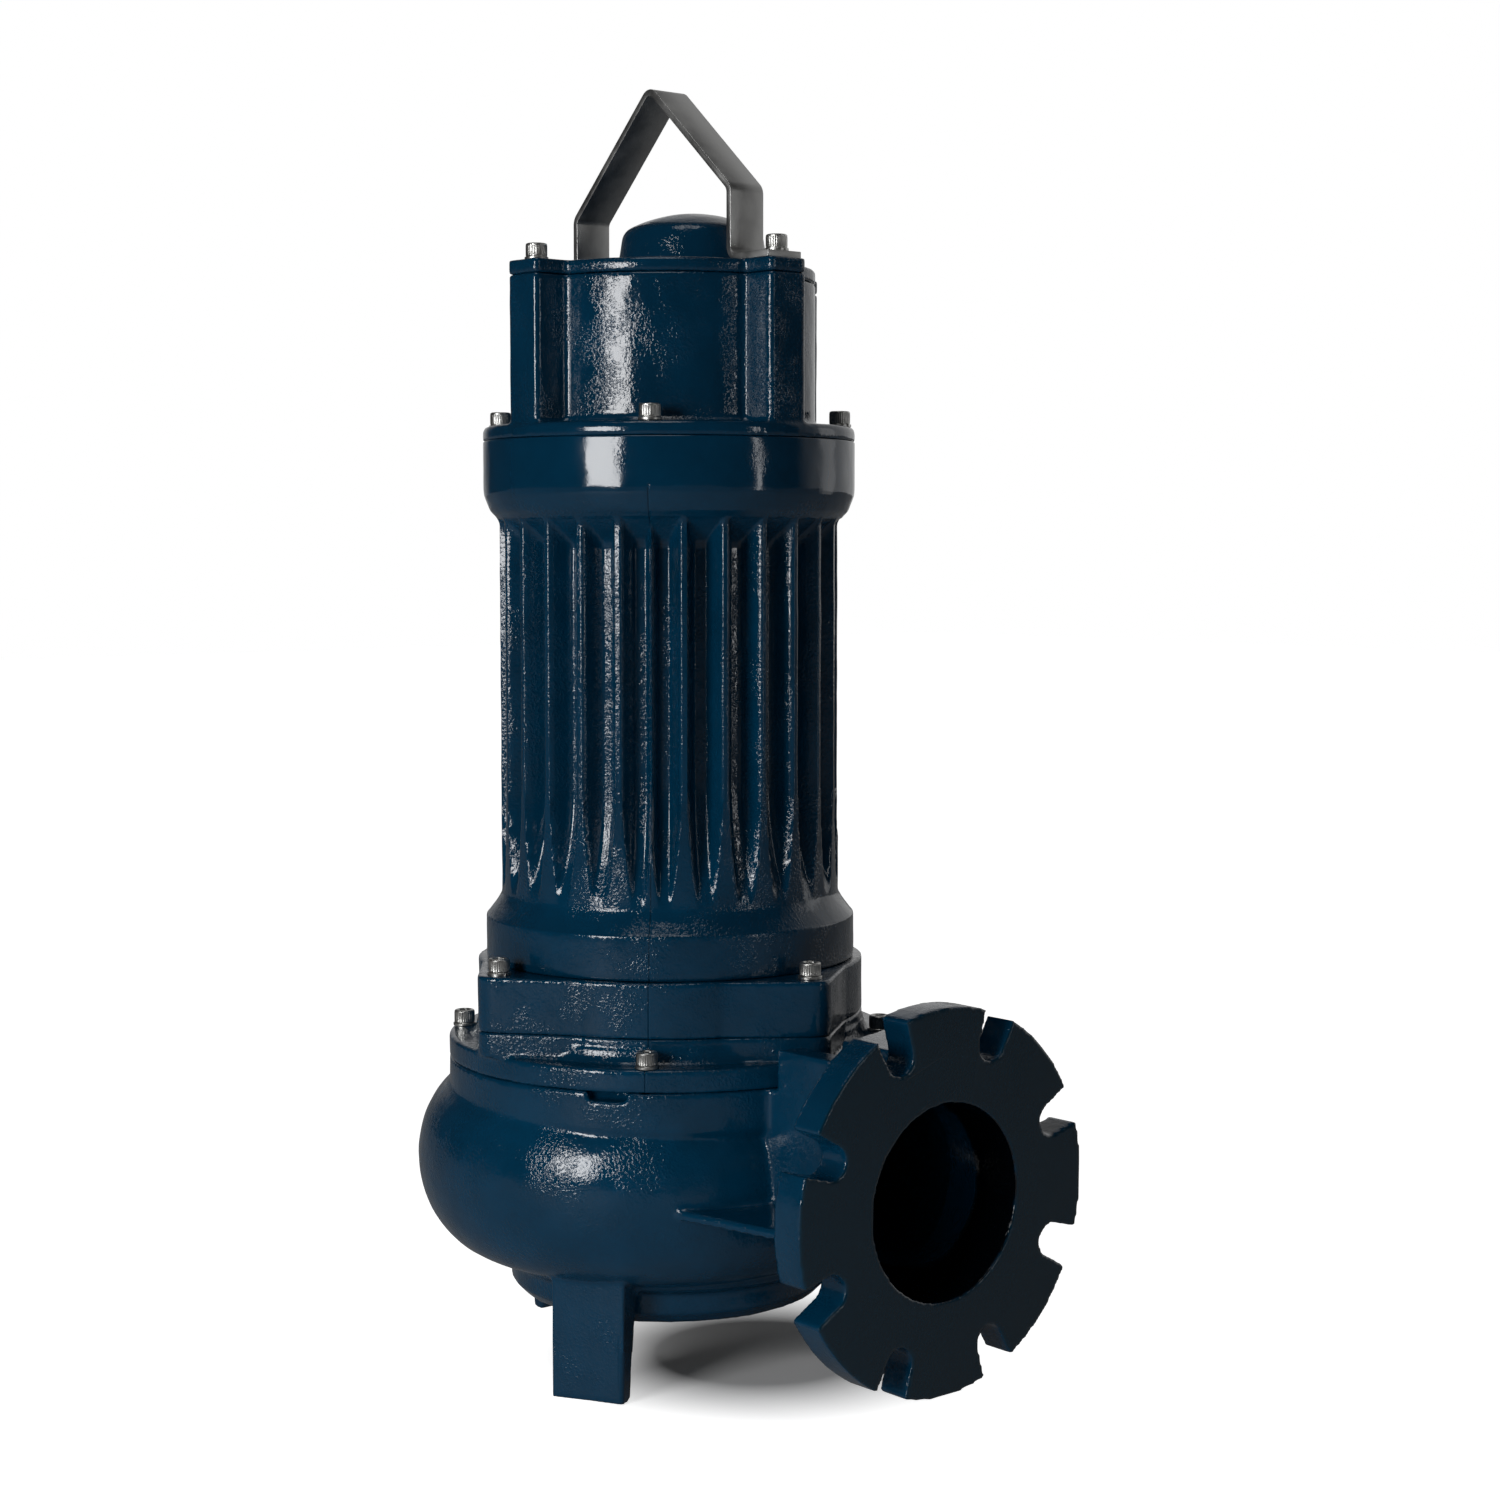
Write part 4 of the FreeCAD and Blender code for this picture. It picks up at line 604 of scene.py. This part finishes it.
class PUMP_OT_motor_housing(bpy.types.Operator):
    """Motor housing: a turned blank whose outside is drawn in between the ribs"""
    bl_idname = "pump.motor_housing"
    bl_label = "Motor housing"

    # Columns of vertices in a valley, slope of its flanks, radii of the bands and of the hollow inside
    columns = 20
    flank = math.tan(math.radians(24.5))
    outer = 0.1425
    hollow = 0.100
    collar_hollow = 0.120

    def outline(self):
        """Half the section of the blank: base band, rib tips, collar band and the hollow."""
        tips = self.ribs.tip_radius
        base = BASE_LEVEL
        top = COLLAR_LEVEL
        outer = self.outer
        base_band = [(self.hollow, base), (outer, base), (outer, base + 0.033),
                     (outer - 0.0015, base + 0.0345)]
        rib_tips = [(tips + 0.004, base + 0.043), (tips, base + 0.050), (tips, top - 0.062),
                    (tips + 0.0025, top - 0.0575), (tips + 0.007, top - 0.0532)]
        collar_band = [(outer - 0.0025, top - 0.0468), (outer - 0.0004, top - 0.0415), (outer, top - 0.037),
                       (outer, top - 0.0008), (outer - 0.0008, top)]
        inside = [(self.collar_hollow, top), (self.collar_hollow, top - 0.062), (self.hollow, top - 0.062)]
        return base_band + rib_tips + collar_band + inside

    def execute(self, context):
        self.ribs = context.scene.pump_ribs
        corners = self.outline()
        valleys = self.valleys()
        shape = spun(corners, len(valleys) * self.columns, 0.0022, 0.0045)
        wave = context.scene.pump_paint.wave
        for vert in shape.verts:
            self.place(vert, valleys, wave)
        mesh = mesh_of(shape, "motor_housing_casting")
        shade(mesh, 50.0)
        finished("motor_housing_casting", mesh, "stator_housing")
        return {"FINISHED"}

    def valleys(self):
        """Start, middle, end and half floor of each valley, in turn round the axis."""
        pitch = self.ribs.pitch
        gap = (math.tau / 4 - 5 * pitch) * 0.2
        wide = self.ribs.half_floor
        narrow = wide * 0.77
        middles = []
        for quarter in range(4):
            turn = quarter * math.tau / 4
            middles += [(turn + pitch * index, wide) for index in range(-2, 3)]
            middles += [(turn + math.tau / 8 + side * gap, narrow) for side in (-1, 1)]
        middles.sort()
        found = []
        last = len(middles) - 1
        for index, (middle, half) in enumerate(middles):
            before = middles[index - 1][0] - (math.tau if index == 0 else 0.0)
            after = middles[(index + 1) % len(middles)][0] + (math.tau if index == last else 0.0)
            found.append(((before + middle) / 2, middle, (middle + after) / 2, half))
        return found

    def place(self, vert, valleys, wave):
        """Crowds the columns at the rib tips and draws the outside in between them."""
        radius = math.hypot(vert.co.x, vert.co.y)
        turn = math.atan2(vert.co.y, vert.co.x) % math.tau
        count = turn / math.tau * len(valleys)
        number = int(count + 1e-6) % len(valleys)
        share = 2.0 * (count - int(count + 1e-6)) - 1.0
        share = 1.35 * share - 0.35 * share ** 3
        start, middle, end, half = valleys[number]
        angle = (start + end) / 2 + (end - start) / 2 * share
        if radius > self.ribs.valley_radius - 0.001:
            radius = self.drawn_in(radius, vert.co.z, abs(angle - middle), half)
        spot = Vector((radius * math.cos(angle), radius * math.sin(angle), vert.co.z))
        if radius > self.ribs.valley_radius - 0.001:
            spot += Vector((spot.x, spot.y, 0.0)).normalized() * (unevenness(spot) * wave)
        vert.co = spot

    def drawn_in(self, radius, level, off, half):
        """The radius of the outside at an angle off the middle of a valley."""
        floor = self.ribs.valley_radius
        low = BASE_LEVEL + 0.054
        runout = 0.090
        rise = self.ribs.tip_radius + 0.001 - floor
        top = COLLAR_LEVEL - 0.058
        if not low < level < top:
            return radius
        shift = 0.0
        if level < low + runout:
            sweep = (runout * runout + rise * rise) / (2 * rise)
            back = runout - (level - low)
            shift = sweep - math.sqrt(sweep * sweep - back * back)
        narrow = half
        if level > top - rise:
            shift = level - (top - rise)
            narrow = half + shift * self.flank
        near = floor + shift
        bottom = near / math.cos(off)
        slope = self.flank * math.cos(off) - math.sin(off)
        side = (near * self.flank - narrow) / slope if slope > 0.02 else 1.0
        cut = -smooth_least(-bottom, -side, 0.0022)
        return smooth_least(radius, cut, self.ribs.crest_round)


class PUMP_OT_top(bpy.types.Operator):
    """Cast skins of the terminal housing and its lid"""
    bl_idname = "pump.top"
    bl_label = "Terminal housing and lid"

    def execute(self, context):
        wave = context.scene.pump_paint.wave
        skin("terminal_housing_casting", "terminal_housing", voxel=0.0018, keep=0.8, wave=wave)
        skin("lid_casting", "top_lid", voxel=0.0017, keep=0.8, wave=wave)
        return {"FINISHED"}


class PUMP_OT_screws(bpy.types.Operator):
    """Socket head screws with knurled heads, standing on split spring washers"""
    bl_idname = "pump.screws"
    bl_label = "Screws and washers"

    def execute(self, context):
        settings = context.scene.pump_fasteners
        for name in ("volute_cover", "oil_chamber", "terminal_housing", "lid"):
            self.screws(settings, name + "_screws", name + "_washers")
        return {"FINISHED"}

    def seats(self, node):
        """The places of a node's washers: middle and underside of each."""
        shape = node_copy(node)
        left = set(shape.verts)
        places = []
        while left:
            island = {left.pop()}
            to_follow = list(island)
            while to_follow:
                vert = to_follow.pop()
                for edge in vert.link_edges:
                    other = edge.other_vert(vert)
                    if other in left:
                        left.remove(other)
                        island.add(other)
                        to_follow.append(other)
            low = [min(vert.co[axis] for vert in island) for axis in range(3)]
            high = [max(vert.co[axis] for vert in island) for axis in range(3)]
            places.append(Vector(((low[0] + high[0]) / 2, (low[1] + high[1]) / 2, low[2])))
        shape.free()
        return places

    def screws(self, settings, screw_node, washer_node):
        """One set of screws with its washers, each turned by a different amount."""
        heads = bmesh.new()
        rings = bmesh.new()
        for number, place in enumerate(self.seats(washer_node)):
            turn = Matrix.Rotation(0.7 + 1.9 * number, 4, "Z")
            seat = Matrix.Translation(place)
            lifted = Matrix.Translation(place + Vector((0.0, 0.0, settings.washer_height)))
            self.head(settings, heads, lifted @ turn)
            self.washer(settings, rings, seat @ turn)
        for node, shape in ((screw_node, heads), (washer_node, rings)):
            mesh = mesh_of(shape, "detailed_" + node)
            shade(mesh, 32.0)
            finished("detailed_" + node, mesh, node)

    def head(self, settings, shape, matrix):
        """A head with a knurl, a chamfered rim and a hexagon socket, on a short shank."""
        segments = settings.ridges * 4
        outer = settings.head_radius
        tall = settings.head_height
        socket = settings.socket
        across = socket * math.cos(math.radians(30))
        shank = 0.005
        shank_length = 0.012
        ridge = 0.00042

        def round_place(radius, level, ridge=0.0):
            def move(spot):
                angle = math.atan2(spot.y, spot.x)
                reach = radius - ridge * (0.5 + 0.5 * math.cos(angle * settings.ridges))
                return Vector((reach * math.cos(angle), reach * math.sin(angle), level))
            return move

        def socket_place(share, level):
            def move(spot):
                angle = math.atan2(spot.y, spot.x)
                flat = (angle + math.tau / 12) % (math.tau / 6) - math.tau / 12
                reach = across / math.cos(flat) * share
                return Vector((reach * math.cos(angle), reach * math.sin(angle), level))
            return move

        underside = (round_place(shank, 0.0), round_place(outer - 0.0006, 0.0),
                     round_place(outer - 0.0002, 0.0004), round_place(outer - 0.0001, 0.0009))
        knurl = (round_place(outer, 0.0013, ridge), round_place(outer, tall - 0.0021, ridge))
        rim = (round_place(outer - 0.0001, tall - 0.0017), round_place(outer - 0.0002, tall - 0.0008),
               round_place(outer - 0.0006, tall - 0.0003), round_place(outer - 0.0013, tall))
        hexagon = (round_place(socket + 0.0006, tall), round_place(socket + 0.0001, tall - 0.0004),
                   socket_place(0.99, tall - 0.0009), socket_place(0.98, tall - 0.005),
                   socket_place(0.5, tall - 0.0056))
        piece = bmesh.new()
        made = bmesh.ops.create_circle(piece, cap_ends=False, segments=segments, radius=shank)
        for vert in made["verts"]:
            vert.co.z = -shank_length
        loop = piece.edges[:]
        bmesh.ops.contextual_create(piece, geom=loop)
        for move in underside + knurl + rim + hexagon:
            loop = next_loop(piece, loop, move)
        bmesh.ops.contextual_create(piece, geom=loop)
        bmesh.ops.recalc_face_normals(piece, faces=piece.faces)
        self.join(shape, piece, matrix)

    def washer(self, settings, shape, matrix):
        """A ring of square wire with a gap between its ends."""
        piece = bmesh.new()
        inner = 0.0056
        outer = settings.washer_radius
        tall = settings.washer_height
        edge = 0.0003
        corners = ((inner, edge), (inner + edge, 0.0), (outer - edge, 0.0), (outer, edge),
                   (outer, tall - edge), (outer - edge, tall), (inner + edge, tall), (inner, tall - edge))
        section = piece.faces.new([piece.verts.new((reach, 0.0, level)) for reach, level in corners])
        bmesh.ops.spin(piece, geom=[section], cent=(0.0, 0.0, 0.0), axis=(0.0, 0.0, 1.0),
                       dvec=(0.0, 0.0, 0.0), angle=math.radians(352.0), steps=44, use_merge=False)
        bmesh.ops.recalc_face_normals(piece, faces=piece.faces)
        self.join(shape, piece, matrix)

    def join(self, shape, piece, matrix):
        """Adds one finished piece to a set."""
        bmesh.ops.transform(piece, matrix=matrix, verts=piece.verts)
        part = mesh_of(piece, "part")
        shape.from_mesh(part)
        bpy.data.meshes.remove(part)


class PUMP_OT_handle(bpy.types.Operator):
    """The bent strap with its broken edges"""
    bl_idname = "pump.handle"
    bl_label = "Lifting handle"

    def execute(self, context):
        crisp("handle_strap", "lifting_handle", width=0.0008)
        return {"FINISHED"}


class PUMP_OT_wheel(bpy.types.Operator):
    """The cast impeller and the pieces that hold it"""
    bl_idname = "pump.wheel"
    bl_label = "Impeller"

    def execute(self, context):
        skin("impeller_casting", "impeller", voxel=0.0012, keep=0.6, wave=0.00012)
        crisp("impeller_bolt_turned", "impeller_bolt", width=0.0006)
        crisp("impeller_washer_turned", "impeller_washer", width=0.0006)
        return {"FINISHED"}


class PUMP_OT_back_fittings(bpy.types.Operator):
    """Oil plugs and cable gland"""
    bl_idname = "pump.back_fittings"
    bl_label = "Plugs and cable gland"

    def execute(self, context):
        crisp("oil_plugs_turned", "oil_plugs", width=0.0004)
        crisp("gland_body_turned", "cable_gland_body", width=0.0004)
        crisp("gland_nut_turned", "cable_gland_nut", width=0.0005)
        return {"FINISHED"}


class PUMP_OT_carried_nodes(bpy.types.Operator):
    """Finishes on the machined parts that keep their CAD shape"""
    bl_idname = "pump.carried_nodes"
    bl_label = "Machined parts"

    def execute(self, context):
        for name, node in NODES.items():
            node.data.materials.clear()
            node.data.materials.append(MATERIALS[SLOT_OF[name]])
        return {"FINISHED"}


class PUMP_OT_stage(bpy.types.Operator):
    """Floor, soft lights, white surroundings and the camera"""
    bl_idname = "pump.stage"
    bl_label = "Studio"

    def execute(self, context):
        settings = context.scene.pump_stage
        self.floor(settings)
        self.surroundings()
        self.lights(settings)
        self.camera()
        context.scene.view_settings.view_transform = "Standard"
        return {"FINISHED"}

    def floor(self, settings):
        """A wide floor, white to the camera but for a patch of painted shade round the pump, where its real
        shadow shows too.
        """
        plane = bmesh.new()
        bmesh.ops.create_grid(plane, x_segments=1, y_segments=1, size=12.0,
                              matrix=Matrix.Translation((0.0, 0.0, FLOOR_LEVEL - 0.0004)))
        mesh = mesh_of(plane, "floor")
        thing = bpy.data.objects.new("floor", mesh)
        bpy.context.scene.collection.objects.link(thing)
        material, tree, shader = new_material("studio_floor")
        shader.inputs["Roughness"].default_value = 0.6
        shader.inputs["Specular IOR Level"].default_value = 0.1
        shader.inputs["Emission Color"].default_value = (1.0, 1.0, 1.0, 1.0)
        x, y, z = axis_values(tree, object_place(tree))
        reach = distance_off(tree, maths(tree, "SUBTRACT", x, SHADE_X), maths(tree, "SUBTRACT", y, SHADE_Y))
        # Painted shade: the glow that makes the floor white fades down to the lift round the pump
        white = spread(tree, reach, SHADE_INNER, SHADE_OUTER, settings.lift, 1.0)
        path = add_node(tree, "ShaderNodeLightPath")
        dark = tuple(channel * FLOOR_IN_GLOSS for channel in settings.floor_colour)
        tree.links.new(tint(tree, path.outputs["Is Glossy Ray"], settings.floor_colour, dark),
                       shader.inputs["Base Color"])
        seen = maths(tree, "MAXIMUM", path.outputs["Is Camera Ray"],
                     maths(tree, "MULTIPLY", path.outputs["Is Glossy Ray"], WHITE_IN_GLOSS))
        seen = maths(tree, "MAXIMUM", seen, path.outputs["Is Transmission Ray"])
        tree.links.new(maths(tree, "MULTIPLY", seen, white), shader.inputs["Emission Strength"])
        mesh.materials.append(material)

    def surroundings(self):
        """White where the camera looks past the floor, dim grey for the light it gives."""
        world = bpy.data.worlds.new("surroundings")
        world.use_nodes = True
        tree = world.node_tree
        ground = tree.nodes["Background"]
        path = add_node(tree, "ShaderNodeLightPath")
        ground.inputs["Color"].default_value = (1.0, 1.0, 1.0, 1.0)
        seen = maths(tree, "MAXIMUM", path.outputs["Is Camera Ray"], path.outputs["Is Transmission Ray"])
        x, y, z = axis_values(tree, add_node(tree, "ShaderNodeTexCoord").outputs["Generated"])
        facing = maths(tree, "ADD", maths(tree, "MULTIPLY", x, BACKDROP_SIDE.x),
                       maths(tree, "MULTIPLY", y, BACKDROP_SIDE.y))
        shown = spread(tree, facing, 0.42, 0.80, 0.02, GLOSS_SHARE)
        seen = maths(tree, "MAXIMUM", seen, maths(tree, "MULTIPLY", path.outputs["Is Glossy Ray"], shown))
        tree.links.new(maths(tree, "MAXIMUM", seen, AMBIENT), ground.inputs["Strength"])
        bpy.context.scene.world = world

    def lights(self, settings):
        """Soft boxes round the pump, and two fills that make no reflections and leave the floor alone."""
        away = math.degrees(math.atan2(-CAMERA_PLACE.y, -CAMERA_PLACE.x))
        middle = Vector((0.03, 0.0, FLOOR_LEVEL + 0.45))
        # Name, direction in degrees, height, distance, width and height of the box, share of the power
        self.box(settings, "key", -79.0, 0.92, 2.6, (0.85, 0.9), 0.57, middle)
        self.box(settings, "side strip", 15.0, 0.85, 2.6, (0.15, 1.3), 0.045, middle)
        self.box(settings, "far panel", 72.0, 0.8, 2.4, (0.6, 1.3), 0.02, middle)
        self.box(settings, "above", -60.0, 2.6, 0.6, (0.9, 0.9), 0.09, middle)
        low = Vector((0.0, 0.0, FLOOR_LEVEL + 0.10))
        high = Vector((0.0, 0.0, 0.75))
        fills = (self.box(settings, "low front", -66.0, low.z, 0.62, (0.9, 0.15), 0.0170, low),
                 self.box(settings, "back fill", away, high.z, 2.6, (1.2, 1.2), 0.42, high))
        floor_left_out = bpy.data.collections.new("floor_left_out")
        floor_left_out.objects.link(bpy.data.objects["floor"])
        floor_left_out.collection_objects[0].light_linking.link_state = "EXCLUDE"
        for fill in fills:
            fill.visible_camera = False
            fill.visible_glossy = False
            fill.light_linking.receiver_collection = floor_left_out

    def box(self, settings, name, turn, height, reach, size, share, target):
        """One soft box that faces its target."""
        lamp = bpy.data.lights.new(name, "AREA")
        lamp.shape = "RECTANGLE"
        lamp.size = size[0]
        lamp.size_y = size[1]
        lamp.energy = settings.power * share
        thing = bpy.data.objects.new(name, lamp)
        bpy.context.scene.collection.objects.link(thing)
        angle = math.radians(turn)
        place = Vector((reach * math.cos(angle), reach * math.sin(angle), height))
        thing.location = place
        thing.rotation_euler = (target - place).to_track_quat("-Z", "Y").to_euler()
        return thing

    def camera(self):
        """The camera of the photograph."""
        lens = bpy.data.cameras.new("camera")
        lens.lens = CAMERA_LENS
        lens.sensor_width = CAMERA_SENSOR
        lens.sensor_fit = "HORIZONTAL"
        thing = bpy.data.objects.new("camera", lens)
        bpy.context.scene.collection.objects.link(thing)
        right = CAMERA_RIGHT.normalized()
        up = CAMERA_UP.normalized()
        back = right.cross(up)
        turn = Matrix((right, up, back)).transposed().to_4x4()
        thing.matrix_world = Matrix.Translation(CAMERA_PLACE) @ turn
        bpy.context.scene.camera = thing


class PUMP_PT_panel(bpy.types.Panel):
    """Lists the pieces of the pump"""
    bl_idname = "PUMP_PT_panel"
    bl_label = "Sewage pump"
    bl_space_type = "VIEW_3D"
    bl_region_type = "UI"
    bl_category = "Pump"

    def draw(self, context):
        for operator in PIECES:
            self.layout.operator(operator.bl_idname)


PIECES = (PUMP_OT_casing, PUMP_OT_covers, PUMP_OT_motor_housing, PUMP_OT_top, PUMP_OT_screws, PUMP_OT_handle,
          PUMP_OT_wheel, PUMP_OT_back_fittings, PUMP_OT_carried_nodes, PUMP_OT_stage)
SETTINGS = (PaintSettings, FastenerSettings, RibSettings, StageSettings)


def register():
    for part in SETTINGS + PIECES + (PUMP_PT_panel,):
        bpy.utils.register_class(part)
    bpy.types.Scene.pump_paint = PointerProperty(type=PaintSettings)
    bpy.types.Scene.pump_fasteners = PointerProperty(type=FastenerSettings)
    bpy.types.Scene.pump_ribs = PointerProperty(type=RibSettings)
    bpy.types.Scene.pump_stage = PointerProperty(type=StageSettings)


def unregister():
    del bpy.types.Scene.pump_paint
    del bpy.types.Scene.pump_fasteners
    del bpy.types.Scene.pump_ribs
    del bpy.types.Scene.pump_stage
    for part in reversed(SETTINGS + PIECES + (PUMP_PT_panel,)):
        bpy.utils.unregister_class(part)


def main():
    register()
    MATERIALS.update(all_materials())
    bpy.ops.pump.casing()
    bpy.ops.pump.covers()
    bpy.ops.pump.motor_housing()
    bpy.ops.pump.top()
    bpy.ops.pump.screws()
    bpy.ops.pump.handle()
    bpy.ops.pump.wheel()
    bpy.ops.pump.back_fittings()
    bpy.ops.pump.carried_nodes()
    bpy.ops.pump.stage()


if __name__ == "__main__":
    main()
